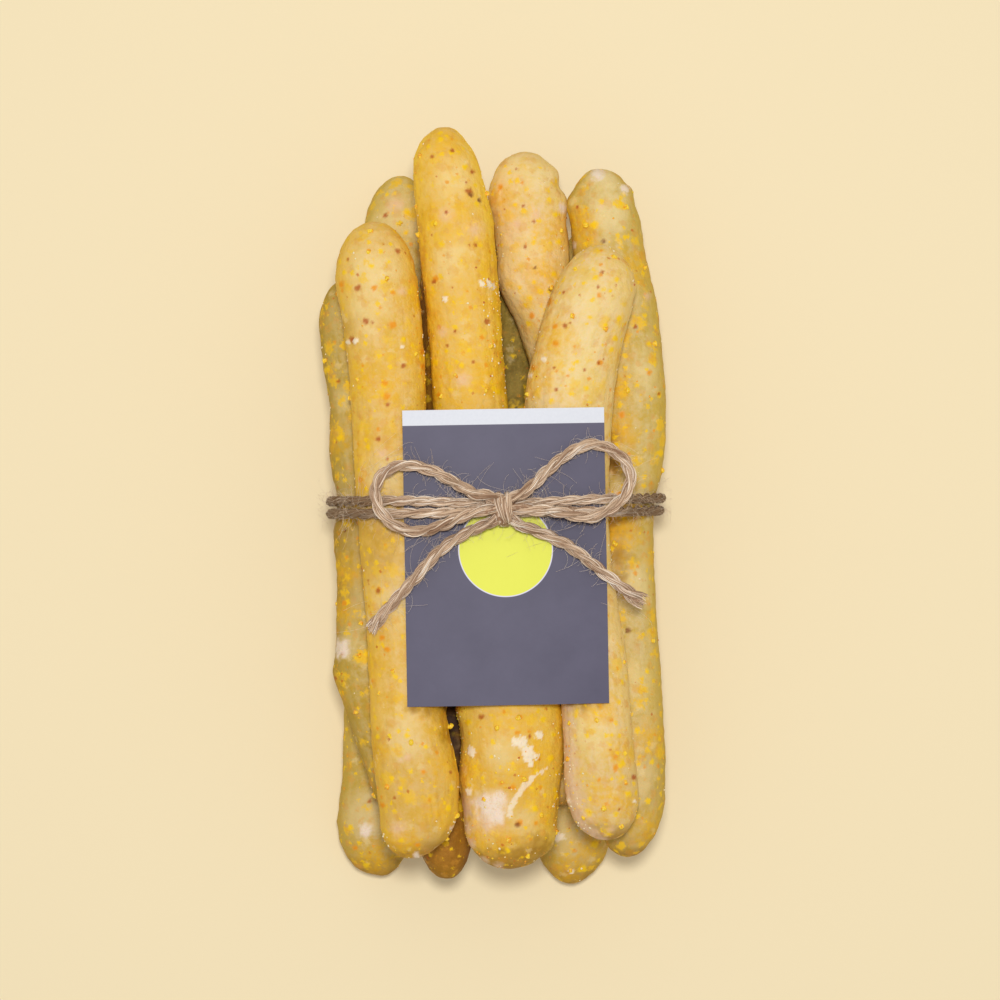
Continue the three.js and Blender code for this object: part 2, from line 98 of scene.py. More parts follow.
class Wiring:
    """Adds nodes to a tree. An input is a plain value or the socket of another node."""

    def __init__(self, tree):
        self.tree = tree

    def feed(self, socket, value):
        if isinstance(value, bpy.types.NodeSocket):
            self.tree.links.new(value, socket)
        else:
            socket.default_value = value

    def node(self, kind, inputs=None, **settings):
        """A node. Its settings come first, then its inputs, by name or by number."""
        made = self.tree.nodes.new(kind)
        for name, value in settings.items():
            setattr(made, name, value)
        for key, value in (inputs or {}).items():
            self.feed(made.inputs[key], value)
        return made

    def math(self, operation, *values):
        return self.node("ShaderNodeMath", dict(enumerate(values)), operation=operation).outputs[0]

    def add(self, *values):
        return reduce(lambda total, value: self.math("ADD", total, value), values)

    def times(self, *values):
        return reduce(lambda total, value: self.math("MULTIPLY", total, value), values)

    def vector(self, operation, *values):
        made = self.node("ShaderNodeVectorMath", dict(enumerate(values)), operation=operation)
        scalar = operation in ("LENGTH", "DISTANCE")
        return made.outputs["Value" if scalar else "Vector"]

    def scaled(self, vector, factor):
        return self.node("ShaderNodeVectorMath", {0: vector, "Scale": factor}, operation="SCALE").outputs[0]

    def part(self, vector, axis):
        """The x, y or z of a vector: axis 0, 1 or 2."""
        return self.node("ShaderNodeSeparateXYZ", {0: vector}).outputs[axis]

    def step(self, value, low, high):
        """0 below low, 1 above high, smooth in between."""
        inputs = {"Value": value, "From Min": low, "From Max": high}
        return self.node("ShaderNodeMapRange", inputs, interpolation_type="SMOOTHSTEP").outputs[0]

    def between(self, share, low, high):
        """A number from low to high as share goes from 0 to 1."""
        inputs = {"Value": share, "To Min": low, "To Max": high}
        return self.node("ShaderNodeMapRange", inputs).outputs[0]

    def blend(self, share, below, above):
        """The colour below, covered by the colour above where share is 1."""
        inputs = {0: share, 6: below, 7: above}
        return self.node("ShaderNodeMix", inputs, data_type="RGBA", clamp_factor=True).outputs[2]

    def noise_node(self, vector, seed, detail, roughness):
        """Noise with a grain of about one unit of the vector. A seed of None leaves it unseeded."""
        inputs = {"Vector": vector, "Scale": 1.0, "Detail": detail, "Roughness": roughness}
        if seed is None:
            return self.node("ShaderNodeTexNoise", inputs, noise_dimensions="3D")
        return self.node("ShaderNodeTexNoise", {**inputs, "W": seed}, noise_dimensions="4D")

    def noise(self, vector, seed, detail=2.0, roughness=0.5):
        """Noise from 0 to 1."""
        return self.noise_node(vector, seed, detail, roughness).outputs[0]

    def jitter(self, vector, reach, seed=None, detail=2.0):
        """A vector that wanders about zero, by up to half the reach each way."""
        wander = self.noise_node(vector, seed, detail, 0.5).outputs["Color"]
        return self.scaled(self.vector("SUBTRACT", wander, (0.5, 0.5, 0.5)), reach)

    def random(self, low, high, index, seed):
        """A random number from low to high for each index."""
        inputs = {2: low, 3: high, "ID": index, "Seed": seed}
        return self.node("FunctionNodeRandomValue", inputs, data_type="FLOAT").outputs[1]

    def named(self, label, kind="FLOAT"):
        """A named attribute, inside a geometry tree."""
        return self.node("GeometryNodeInputNamedAttribute", {"Name": label}, data_type=kind).outputs[0]

    def labelled(self, geometry, label, value, domain):
        """Geometry with a number written on it as a named attribute."""
        inputs = {0: geometry, "Name": label, "Value": value}
        kind = {"data_type": "FLOAT", "domain": domain}
        return self.node("GeometryNodeStoreNamedAttribute", inputs, **kind).outputs[0]

    def place(self):
        return self.node("GeometryNodeInputPosition").outputs[0]

    def moved(self, geometry, shift):
        return self.node("GeometryNodeSetPosition", {0: geometry, "Offset": shift}).outputs[0]

    def instances(self, points, instance, rotation, scale):
        """A copy of an instance on every point, turned and scaled."""
        inputs = {"Points": points, "Instance": instance, "Rotation": rotation, "Scale": scale}
        return self.node("GeometryNodeInstanceOnPoints", inputs).outputs[0]

    def realized(self, geometry):
        return self.node("GeometryNodeRealizeInstances", {0: geometry}).outputs[0]

    def even_curve(self, mesh, step):
        """A chain of edges as a curve, and the same curve with a point at every step."""
        curve = self.node("GeometryNodeMeshToCurve", {0: mesh}).outputs[0]
        inputs = {"Curve": curve, "Length": step}
        return curve, self.node("GeometryNodeResampleCurve", inputs, mode="LENGTH").outputs[0]

    def thick(self, curves, radius):
        return self.node("GeometryNodeSetCurveRadius", {0: curves, "Radius": radius}).outputs[0]

    def swept(self, curves, sides):
        """Curves as closed tubes of their own radius."""
        ring = self.node("GeometryNodeCurvePrimitiveCircle", {"Resolution": sides, "Radius": 1.0}).outputs[0]
        scale = self.node("GeometryNodeInputRadius").outputs[0]
        inputs = {"Curve": curves, "Profile Curve": ring, "Scale": scale, "Fill Caps": True}
        return self.node("GeometryNodeCurveToMesh", inputs).outputs[0]

    def coated(self, geometry, material):
        """Geometry made real, with its material."""
        inputs = {0: self.realized(geometry), "Material": material}
        return self.node("GeometryNodeSetMaterial", inputs).outputs[0]

    def layer(self, label, output="Fac"):
        """A named attribute of a piece, inside a material."""
        return self.node("ShaderNodeAttribute", attribute_name=label).outputs[output]

    def surface(self, shader):
        """Makes a shader the surface of the material."""
        self.node("ShaderNodeOutputMaterial", {"Surface": shader.outputs[0]})


def new_tree(name, kind, inputs, outputs):
    """An empty node group. Its inputs are given by name, with their kind and default."""
    tree = bpy.data.node_groups.new(name, kind)
    for label, (socket, default) in inputs.items():
        made = tree.interface.new_socket(label, in_out="INPUT", socket_type="NodeSocket" + socket)
        if default is not None:
            made.default_value = default
    for label, socket in outputs.items():
        tree.interface.new_socket(label, in_out="OUTPUT", socket_type="NodeSocket" + socket)
    w = Wiring(tree)
    return tree, w, w.node("NodeGroupInput").outputs, w.node("NodeGroupOutput").inputs


def new_material(name):
    """An empty material, with the wiring of its nodes."""
    material = bpy.data.materials.new(name)
    material.use_nodes = True
    material.node_tree.nodes.clear()
    return material, Wiring(material.node_tree)


# ------------------------------------------------------------------ meshes and lines


def linked(name, data):
    """A new object in the scene."""
    made = bpy.data.objects.new(name, data)
    SCENE.collection.objects.link(made)
    return made


def plain_mesh(holder):
    """What an object's modifiers make, as a mesh of its own. The object is removed."""
    ready = holder.evaluated_get(bpy.context.evaluated_depsgraph_get())
    mesh = bpy.data.meshes.new_from_object(ready)
    bpy.data.objects.remove(holder)
    return mesh


def grown(name, mesh, tree, **values):
    """A mesh object with what a geometry tree makes of a mesh."""
    holder = linked(name + "_source", mesh)
    modifier = holder.modifiers.new("nodes", "NODES")
    modifier.node_group = tree
    for socket in tree.interface.items_tree:
        label = socket.name.replace(" ", "_").lower()
        if socket.item_type == "SOCKET" and socket.in_out == "INPUT" and label in values:
            modifier[socket.identifier] = values[label]
    return linked(name, plain_mesh(holder))


def line_mesh(name, points):
    """A chain of edges through points."""
    mesh = bpy.data.meshes.new(name)
    mesh.from_pydata([tuple(p) for p in points], [(i, i + 1) for i in range(len(points) - 1)], [])
    return mesh


def opened(mesh):
    """A mesh, opened for work on its corners, edges and faces."""
    shape = bmesh.new()
    shape.from_mesh(mesh)
    return shape


def merged_copy(node):
    """A copy of a solid's mesh with its corners shared between faces."""
    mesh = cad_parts[node].data.copy()
    shape = opened(mesh)
    bmesh.ops.remove_doubles(shape, verts=shape.verts, dist=1e-6)
    shape.to_mesh(mesh)
    shape.free()
    return mesh


def corners(mesh):
    """Places of a mesh's corners, one row each."""
    flat = np.empty(len(mesh.vertices) * 3, np.float32)
    mesh.vertices.foreach_get("co", flat)
    return flat.reshape(-1, 3)


def set_corners(mesh, places):
    mesh.vertices.foreach_set("co", np.ascontiguousarray(places, np.float32).ravel())
    mesh.update()


def keep_inside(mesh, box):
    """Moves the corners that stand out of a box onto its walls."""
    low, high = (np.array(corner) for corner in box)
    set_corners(mesh, np.clip(corners(mesh), low, high))


def corner_normals(mesh):
    """The way each corner of a mesh faces, one row each."""
    flat = np.empty(len(mesh.vertices) * 3, np.float32)
    mesh.vertex_normals.foreach_get("vector", flat)
    return flat.reshape(-1, 3)


def write_numbers(mesh, name, values):
    """Writes one number for each corner, as a named attribute."""
    mesh.attributes.new(name, "FLOAT", "POINT").data.foreach_set("value", np.asarray(values, np.float32))


def write_vectors(mesh, name, rows):
    """Writes one vector for each corner, as a named attribute."""
    flat = np.asarray(rows, np.float32).ravel()
    mesh.attributes.new(name, "FLOAT_VECTOR", "POINT").data.foreach_set("vector", flat)


CURVE_POINTS = 24    # points of a smooth line between two of its given points


def smooth_line(points, step):
    """Evenly spaced points of the smooth centripetal curve through points."""
    knots = np.array(points, float)
    knots = np.vstack([2 * knots[0] - knots[1], knots, 2 * knots[-1] - knots[-2]])
    fine = []
    for a, b, c, d in zip(knots, knots[1:], knots[2:], knots[3:]):
        before, here, after = (math.sqrt(np.linalg.norm(q - p)) for p, q in ((a, b), (b, c), (c, d)))
        leave = ((b - a) / before - (c - a) / (before + here) + (c - b) / here) * here
        arrive = ((c - b) / here - (d - b) / (here + after) + (d - c) / after) * here
        t = np.linspace(0, 1, CURVE_POINTS, endpoint=False)[:, None]
        cubic = 2 * b - 2 * c + leave + arrive
        square = -3 * b + 3 * c - 2 * leave - arrive
        fine.append(((cubic * t + square) * t + leave) * t + b)
    fine = np.vstack([*fine, knots[-2]])
    along = np.concatenate([[0], np.cumsum(np.linalg.norm(np.diff(fine, axis=0), axis=1))])
    places = np.linspace(0, along[-1], max(2, round(along[-1] / step) + 1))
    return np.stack([np.interp(places, along, fine[:, axis]) for axis in range(3)], axis=1)


def finish(piece, slot, *nodes):
    """Puts a finished piece on the bundle, in place of its solids."""
    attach(piece, "root")
    if nodes:
        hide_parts(*nodes)
    return piece


# ------------------------------------------------------------------ routes of the twine

TWINE = 3.2 * MM
KNOT = Vector((2.4, 1.6, 59.6)) * MM

# Routes of the free ends of the bow, from inside the knot outwards, in millimetres.
LOOP_LEFT = [
    (1.6, 3.6, 59.8), (-1.6, 4.6, 61.5), (-5.1, 5.0, 61.6), (-8.2, 6.7, 61.0),
    (-11.3, 8.5, 59.1), (-15.0, 10.5, 58.4), (-19.1, 11.9, 58.2), (-23.3, 12.5, 58.1),
    (-26.9, 11.7, 58.1), (-29.5, 9.7, 58.5), (-30.8, 6.9, 59.4), (-30.8, 3.8, 60.0),
    (-29.8, 0.9, 60.5), (-27.5, -1.8, 60.2), (-24.0, -3.9, 58.7), (-20.2, -4.7, 58.2),
    (-16.3, -4.0, 58.5), (-12.4, -2.6, 59.8), (-8.7, -0.9, 61.5), (-5.4, 0.4, 61.8),
    (-1.5, 1.1, 61.9), (1.6, 1.3, 60.0),
]
LOOP_RIGHT = [
    (3.2, 3.6, 59.8), (6.3, 4.8, 61.3), (8.3, 6.1, 60.9), (10.4, 7.9, 59.9),
    (13.3, 10.8, 58.6), (16.4, 13.6, 57.8), (19.5, 15.8, 57.2), (22.6, 17.4, 56.8),
    (25.8, 18.0, 56.4), (28.9, 17.3, 56.1), (31.7, 15.7, 56.0), (34.1, 13.2, 55.9),
    (35.2, 10.1, 56.1), (34.8, 6.9, 57.0), (33.1, 4.0, 58.5), (30.7, 1.8, 59.9),
    (27.7, 0.0, 60.4), (24.6, -1.0, 60.3), (21.3, -0.6, 60.6), (18.1, 0.1, 60.9),
    (14.8, 0.7, 61.1), (11.7, 0.9, 61.2), (8.6, 1.0, 61.4), (6.3, 1.2, 61.5),
    (3.2, 1.3, 60.0),
]
TAIL_LEFT = [
    (1.6, -0.3, 60.2), (-1.2, -2.4, 60.3), (-3.3, -3.2, 60.0), (-5.4, -4.1, 59.4),
    (-7.5, -5.2, 58.8), (-9.5, -6.3, 58.4), (-11.6, -7.6, 58.2), (-13.7, -9.2, 58.2),
    (-15.7, -11.1, 58.2), (-17.8, -13.5, 58.2), (-19.9, -15.9, 58.1), (-22.0, -18.3, 57.9),
    (-24.1, -20.6, 57.4), (-26.2, -23.0, 56.7), (-28.3, -25.3, 55.9), (-30.4, -27.8, 55.0),
    (-32.2, -30.2, 54.2),
]
TAIL_RIGHT = [
    (3.2, -0.3, 60.0), (5.9, -2.7, 60.0), (8.1, -3.5, 59.3), (10.4, -4.4, 58.6),
    (12.8, -5.3, 58.0), (15.1, -6.4, 57.5), (17.4, -7.5, 57.2), (19.8, -8.8, 57.0),
    (22.1, -10.5, 56.9), (24.4, -12.3, 56.8), (26.8, -14.3, 56.7), (29.1, -16.1, 56.5),
    (31.5, -17.9, 56.1), (33.8, -19.8, 55.5), (36.2, -21.5, 54.8), (38.3, -23.0, 54.2),
]

# Strands of the knot, in millimetres: two drawn over it from top to bottom, and one across inside it.
KNOT_STRANDS = [
    [
        (3.4, 3.9, 57.9), (3.3, 4.2, 59.6), (3.0, 3.3, 61.3), (3.0, 1.0, 61.9), (3.2, -1.0, 61.3),
        (3.2, -1.9, 59.8), (3.2, -1.9, 58.1),
    ],
    [
        (1.0, 3.9, 57.9), (1.0, 4.2, 59.4), (1.0, 3.3, 61.0), (1.3, 1.0, 61.6), (1.8, -1.0, 61.0),
        (2.0, -1.9, 59.4), (2.0, -1.9, 58.0),
    ],
    [(-2.4, 2.2, 60.0), (0.2, 2.6, 59.6), (2.4, 1.6, 59.4), (4.6, 0.8, 59.6), (7.0, 1.1, 59.9)],
]

ROUTE_STEP = 0.5 * MM
RING_CORNERS = 8          # corners round the twine in the solid of the turns
TURN_START = 1.1 * MM     # from the middle of the knot up or down to the start of a turn
TURN_CLIMB = 0.01         # how much the turns climb towards +X
TURN_PULL = 1.7 * MM      # how far the turns sink towards the bundle at its sides
TURN_PULL_POWER = 6       # a high power keeps the pull to the very sides
TURN_CLOSER = 0.15 * MM   # each turn's step towards the other
TURN_LOWER = 0.2 * MM     # both turns' step down the bundle


def bow_route(points):
    """The smooth line of a bow's end or a knot's strand."""
    return smooth_line(np.array(points) * MM, ROUTE_STEP)


def ring_centres(node, sides):
    """Centres of the rings of a tube in a solid: groups of corners joined by its short edges."""
    shape = opened(merged_copy(node))
    short = 0.5 * TWINE
    seen, centres = set(), []
    for first in shape.verts:
        if first in seen:
            continue
        ring, waiting = [], [first]
        seen.add(first)
        while waiting:
            corner = waiting.pop()
            ring.append(corner.co.copy())
            for edge in corner.link_edges:
                other = edge.other_vert(corner)
                if other not in seen and edge.calc_length() < short:
                    seen.add(other)
                    waiting.append(other)
        if len(ring) == sides:
            centres.append(sum(ring, Vector()) / sides)
    shape.free()
    return centres


def drawn_in(place, side, middle, high):
    """A place of a turn as the taut twine pulls it into the crust at the bundle's sides."""
    out = (place.x - middle.x) / (high.x - middle.x)
    pull = math.copysign(abs(out) ** TURN_PULL_POWER, out) * TURN_PULL
    return Vector((place.x - pull, place.y - side * TURN_CLOSER - TURN_LOWER, place.z))


def turn_routes():
    """The lines of the two taut turns, each from the knot round the back to the knot again."""
    centres = ring_centres("twine_turns_and_knot", RING_CORNERS)
    low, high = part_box("twine_turns_and_knot")
    middle = (low + high) / 2
    split = np.median([c.y - TURN_CLIMB * c.x for c in centres])

    def way_round(centre):
        """The angle of a centre round the bundle, from straight above the knot."""
        angle = math.atan2(centre.z - middle.z, centre.x - KNOT.x)
        return (angle - math.pi / 2) % (2 * math.pi)

    routes = []
    for side in (1, -1):
        mine = [c for c in centres if side * (c.y - TURN_CLIMB * c.x - split) > 0]
        mine.sort(key=way_round)
        start = Vector((KNOT.x, KNOT.y + side * TURN_START, mine[0].z))
        taut = [drawn_in(place, side, middle, high) for place in [start, *mine, start]]
        routes.append(smooth_line(taut, ROUTE_STEP))
    return routes


# ------------------------------------------------------------------ laid twine

PLIES = 3
PLY_PITCH = 15.0 * MM        # the length in which a ply goes once round
PLY_OFFSET = 0.86 * MM       # from the middle of the twine to the middle of a ply
PLY_RADIUS = 0.72 * MM
TAUT = 0.86                  # thickness of the tight turns, as a share of the loose bow's
STRAND_STEP = 1.3 * MM

FIBRES = 22        # in each ply
FIBRE_RADIUS = 0.095 * MM
FIBRE_RADII = (0.65, 1.5)               # the thinnest and the thickest, as shares of that radius
FIBRE_DEPTHS = (0.82, 1.03)             # places of the fibres, as shares of their ply's radius
FIBRE_LEAN = 0.25                       # the most a fibre leaves its even place round the ply
FIBRE_LAY = 0.55                        # turns of a fibre round its ply in one pitch of the plies
FIBRE_WANDER = 0.11 * MM
FIBRE_WAVES = 260.0                     # waves of a wandering fibre in a metre
FIBRE_ENDS = (-0.5 * MM, 0.9 * MM)      # how far the fibres stop short of the cut, or stand out of it
FRAYED_END = 7.0 * MM
CORE_RADIUS = 0.88                      # the plain core under the fibres, as a share of its ply
CORE_END = -0.9 * MM
# the cores have the darkest tone, so where they show between the fibres they are painted shade in the
# grooves
CORE_TONE = 0.0


def around(w, lay, radius, angle):
    """A step away from the line, by a radius and an angle round it."""
    first = w.scaled(lay["out"], w.times(radius, w.math("COSINE", angle)))
    second = w.scaled(lay["side"], w.times(radius, w.math("SINE", angle)))
    return w.vector("ADD", first, second)


def laid_line(w, given):
    """The line of the twine with its own directions kept, and what the lay of the plies needs."""
    curve, even = w.even_curve(given["Line"], given["Step"])
    kept = w.node("GeometryNodeCaptureAttribute", {0: even}, domain="POINT")
    for kind, label in (("VECTOR", "Along"), ("VECTOR", "Out"), ("FLOAT", "Distance")):
        kept.capture_items.new(kind, label)
    w.feed(kept.inputs["Along"], w.node("GeometryNodeInputTangent").outputs[0])
    w.feed(kept.inputs["Out"], w.node("GeometryNodeInputNormal").outputs[0])
    w.feed(kept.inputs["Distance"], w.node("GeometryNodeSplineParameter").outputs["Length"])
    along, out, distance = (kept.outputs[label] for label in ("Along", "Out", "Distance"))
    total = w.node("GeometryNodeCurveLength", {0: curve}).outputs[0]
    end_share = w.step(w.math("SUBTRACT", total, distance), FRAYED_END, 0.0)
    return {
        "line": kept.outputs[0],
        "along": along,
        "out": out,
        "side": w.vector("CROSS_PRODUCT", along, out),
        "distance": distance,
        "end_share": end_share,
        "spread": w.add(1.0, w.times(end_share, given["Flare"])),
        "turned": w.times(distance, w.math("DIVIDE", -2 * math.pi, given["Ply Pitch"])),
    }


def ply_fibres(w, given, lay):
    """The fibres of all plies, as curves."""

    def random(low, high, shift):
        return w.random(low, high, number, w.math("ADD", given["Seed"], shift))

    count = w.math("MULTIPLY", given["Fibres"], PLIES)
    copies = w.node("GeometryNodeDuplicateElements", {0: lay["line"], "Amount": count}, domain="SPLINE")
    number = copies.outputs["Duplicate Index"]
    ply = w.math("FLOOR", w.math("DIVIDE", w.math("ADD", number, 0.5), given["Fibres"]))
    ply_angle = w.add(lay["turned"], w.times(ply, 2 * math.pi / PLIES))
    ply_place = around(w, lay, w.times(given["Ply Offset"], lay["spread"]), ply_angle)
    lean = random(-FIBRE_LEAN, FIBRE_LEAN, 11)
    even_turn = w.math("DIVIDE", w.times(number, 2 * math.pi), given["Fibres"])
    drift = w.times(lay["distance"], w.math("DIVIDE", 2 * math.pi * FIBRE_LAY, given["Ply Pitch"]))
    depth = w.times(random(*FIBRE_DEPTHS, 21), given["Ply Radius"], lay["spread"])
    fibre_place = around(w, lay, depth, w.add(even_turn, drift, lean))
    wander = w.times(FIBRE_WANDER, lay["spread"])
    loose = w.jitter(w.scaled(w.place(), FIBRE_WAVES), wander, seed=w.times(number, 3.7), detail=1.0)
    trim = w.scaled(lay["along"], w.times(lay["end_share"], random(*FIBRE_ENDS, 31)))
    shift = w.vector("ADD", w.vector("ADD", ply_place, fibre_place), w.vector("ADD", loose, trim))
    toned = w.labelled(w.moved(copies.outputs[0], shift), "tone", random(0.0, 1.0, 41), "CURVE")
    return w.thick(toned, w.times(given["Fibre Radius"], random(*FIBRE_RADII, 51)))


def ply_cores(w, given, lay):
    """A plain core in every ply, under its fibres, as curves."""
    copies = w.node("GeometryNodeDuplicateElements", {0: lay["line"], "Amount": PLIES}, domain="SPLINE")
    ply = copies.outputs["Duplicate Index"]
    angle = w.add(lay["turned"], w.times(ply, 2 * math.pi / PLIES))
    place = around(w, lay, given["Ply Offset"], angle)
    trim = w.scaled(lay["along"], w.times(lay["end_share"], CORE_END))
    moved = w.moved(copies.outputs[0], w.vector("ADD", place, trim))
    # the darkest tone: painted shade in the grooves between the fibres
    toned = w.labelled(moved, "tone", CORE_TONE, "CURVE")
    return w.thick(toned, w.times(given["Ply Radius"], CORE_RADIUS))


def twine_tree():
    """Three plies of fibres laid round a line, left-handed."""
    tree, w, given, result = new_tree(
        "laid twine",
        "GeometryNodeTree",
        {
            "Line": ("Geometry", None),
            "Ply Pitch": ("Float", PLY_PITCH),
            "Ply Offset": ("Float", PLY_OFFSET),
            "Ply Radius": ("Float", PLY_RADIUS),
            "Fibres": ("Int", FIBRES),
            "Fibre Radius": ("Float", FIBRE_RADIUS),
            "Step": ("Float", STRAND_STEP),
            "Flare": ("Float", 0.0),
            "Seed": ("Int", 1),
            "Material": ("Material", None),
        },
        {"Twine": "Geometry"},
    )
    lay = laid_line(w, given)
    join = w.node("GeometryNodeJoinGeometry")
    for tubes in (w.swept(ply_fibres(w, given, lay), 4), w.swept(ply_cores(w, given, lay), 7)):
        tree.links.new(tubes, join.inputs[0])
    w.feed(result[0], w.coated(join.outputs[0], given["Material"]))
    return tree


# ------------------------------------------------------------------ loose hairs of the twine

HAIR_RADIUS = 0.024 * MM
HAIR_ROOT = 1.1 * MM       # from the line of the twine out to where its hairs start
HAIR_SHORTEST = 0.35       # as a share of the longest, before it is squared
HAIR_OUTWARD = 0.45        # how much a hair leaves the twine, against 1 along it
HAIR_ASTRAY = 0.45         # how much it goes any other way
HAIR_TONE = 0.8
LOOSE_ABOVE = 12 * MM      # no loose hairs lower than this, where the twine lies under the bundle

# Long curls and short fuzz: the space between hairs, their length, curl, waves in a metre, corners, seed.
LONG_CURLS = {
    "hair_spacing": 1.6 * MM, "hair_length": 13.0 * MM, "curl": 5.4 * MM,
    "waves_per_metre": 48.0, "corners": 16, "seed": 7,
}
SHORT_FUZZ = {
    "hair_spacing": 0.2 * MM, "hair_length": 4.6 * MM, "curl": 0.8 * MM,
    "waves_per_metre": 90.0, "corners": 8, "seed": 8,
}


def hair_curves(w, given, line):
    """One thin bent hair on every point of a line, which leaves the twine at a slant."""
    bow = {"Resolution": 7, "Start": (0, 0, 0), "Middle": (0.5, 0.25, 0), "End": (1, -0.1, 0.2)}
    hair = w.node("GeometryNodeCurveQuadraticBezier", bow).outputs[0]
    index = w.node("GeometryNodeInputIndex").outputs[0]
    seed = given["Seed"]

    def random_vector(shift):
        inputs = {0: (-1, -1, -1), 1: (1, 1, 1), "ID": index, "Seed": w.math("ADD", seed, shift)}
        return w.node("FunctionNodeRandomValue", inputs, data_type="FLOAT_VECTOR").outputs[0]

    along = w.node("GeometryNodeInputTangent").outputs[0]
    outward = w.vector("NORMALIZE", w.vector("CROSS_PRODUCT", along, random_vector(62)))
    share = w.random(HAIR_SHORTEST, 1.0, index, w.math("ADD", seed, 61))
    coin = w.math("GREATER_THAN", w.math("FRACT", w.times(share, 97.0)), 0.5)
    up_or_down = w.math("SUBTRACT", w.times(coin, 2.0), 1.0)
    slant = w.vector("ADD", w.scaled(along, up_or_down), w.scaled(outward, HAIR_OUTWARD))
    slant = w.vector("ADD", slant, w.scaled(random_vector(63), HAIR_ASTRAY))
    facing = w.node("FunctionNodeAlignRotationToVector", {"Vector": slant}, axis="X").outputs[0]
    root = w.moved(line, w.scaled(outward, HAIR_ROOT))
    reach = w.times(given["Hair Length"], w.math("POWER", share, 2.0))
    real = w.realized(w.instances(root, hair, facing, reach))
    waves = w.scaled(w.place(), given["Waves Per Metre"])
    bend = w.jitter(waves, w.times(given["Curl"], 3.0), seed=w.times(seed, 0.7), detail=0.0)
    toned = w.labelled(w.moved(real, bend), "tone", HAIR_TONE, "CURVE")
    return w.thick(toned, HAIR_RADIUS)


def hair_tree():
    """Hairs that have come loose from the twine."""
    tree, w, given, result = new_tree(
        "loose fibres",
        "GeometryNodeTree",
        {
            "Lines": ("Geometry", None),
            "Hair Spacing": ("Float", LONG_CURLS["hair_spacing"]),
            "Hair Length": ("Float", LONG_CURLS["hair_length"]),
            "Curl": ("Float", LONG_CURLS["curl"]),
            "Waves Per Metre": ("Float", LONG_CURLS["waves_per_metre"]),
            "Corners": ("Int", LONG_CURLS["corners"]),
            "Seed": ("Int", LONG_CURLS["seed"]),
            "Material": ("Material", None),
        },
        {"Fibres": "Geometry"},
    )
    _, starts = w.even_curve(given["Lines"], given["Hair Spacing"])
    hairs = hair_curves(w, given, starts)
    even = w.node("GeometryNodeResampleCurve", {"Curve": hairs, "Count": given["Corners"]}, mode="COUNT")
    w.feed(result[0], w.coated(w.swept(even.outputs[0], 3), given["Material"]))
    return tree


def shown_lines(routes):
    """The stretches of the twine that may have loose hairs, as one mesh of edges."""
    places, edges = [], []
    for route in routes:
        shown = [Vector(p) for p in route if p[2] > LOOSE_ABOVE]
        for i, (a, b) in enumerate(zip(shown, shown[1:])):
            if (a - b).length < MM:
                edges.append((len(places) + i, len(places) + i + 1))
        places += shown
    mesh = bpy.data.meshes.new("loose_lines")
    mesh.from_pydata(places, edges, [])
    return mesh


# ------------------------------------------------------------------ jute

JUTE_BROWN, JUTE_PALE = colour(136, 98, 70), colour(229, 200, 168)
JUTE_BRIGHT = colour(250, 238, 222)
# painted shade of the turns at the sides of the bundle
JUTE_SIDE_SHADE = colour(118, 88, 56)
JUTE_CLOUDS = 180.0          # clouds of lighter and darker jute in a metre
SIDE_SHADE_FROM, SIDE_SHADE_TO = 26 * MM, 36 * MM    # where the painted shade of the turns grows, from the middle of the bundle towards its sides
BUNDLE_MIDDLE = 1.5 * MM


def jute_material(name, shaded_sides):
    """Jute fibres. On the turns, painted shade darkens the jute where they go round the sides of the bundle.
    """
    material, w = new_material(name)
    place = w.node("ShaderNodeTexCoord").outputs["Object"]
    patch = w.noise(w.scaled(place, JUTE_CLOUDS), 3.0, detail=3.0)
    share = w.math("ADD", w.times(w.layer("tone"), 0.65), w.times(patch, 0.5))
    shown = w.blend(w.step(share, 0.1, 0.8), JUTE_BROWN, JUTE_PALE)
    shown = w.blend(w.step(share, 0.66, 0.95), shown, JUTE_BRIGHT)
    from_middle = w.math("ABSOLUTE", w.math("SUBTRACT", w.part(place, 0), BUNDLE_MIDDLE))
    # painted shade where the turns go down the sides of the bundle
    side_shade = w.times(w.step(from_middle, SIDE_SHADE_FROM, SIDE_SHADE_TO), shaded_sides)
    shown = w.blend(side_shade, shown, JUTE_SIDE_SHADE)
    gloss = {"Roughness": 0.62, "Specular IOR Level": 0.35}
    w.surface(w.node("ShaderNodeBsdfPrincipled", {"Base Color": shown, **gloss}))
    return material


# The free ends of the bow: piece, route, what its far end is, and how much its cut end frays.
BOW = [
    ("bow_loop_left", LOOP_LEFT, "object", 0.0),
    ("bow_loop_right", LOOP_RIGHT, "object", 0.0),
    ("bow_tail_left", TAIL_LEFT, "bare", 0.2),
    ("bow_tail_right", TAIL_RIGHT, "bare", 0.5),
]


def make_bow(tree, jute):
    for number, (name, points, far_end, flare) in enumerate(BOW):
        route = bow_route(points)
        piece = grown(
            name + "_twine", line_mesh(name + "_line", route), tree,
            flare=flare, seed=10 * number + 1, material=jute,
        )
        finish(piece, "twine", name)


def make_turns(tree, routes):
    # jute with painted shade where the turns go round the sides of the bundle
    worn_jute = jute_material("worn_jute", 0.85)
    for number, route in enumerate(routes):
        piece = grown(
            f"turn_{number + 1}_twine", line_mesh("turn_line", route), tree,
            ply_offset=TAUT * PLY_OFFSET, ply_radius=TAUT * PLY_RADIUS, seed=60 + number, material=worn_jute,
        )
        finish(piece, "twine", "twine_turns_and_knot")


def make_hairs(routes, jute):
    lines, tree = shown_lines(routes), hair_tree()
    for name, kind in (("loose_fibres", LONG_CURLS), ("fuzz_of_twine", SHORT_FUZZ)):
        piece = grown(name, lines, tree, material=jute, **kind)
        keep_inside(piece.data, CAD_BOX)
        finish(piece, "twine")


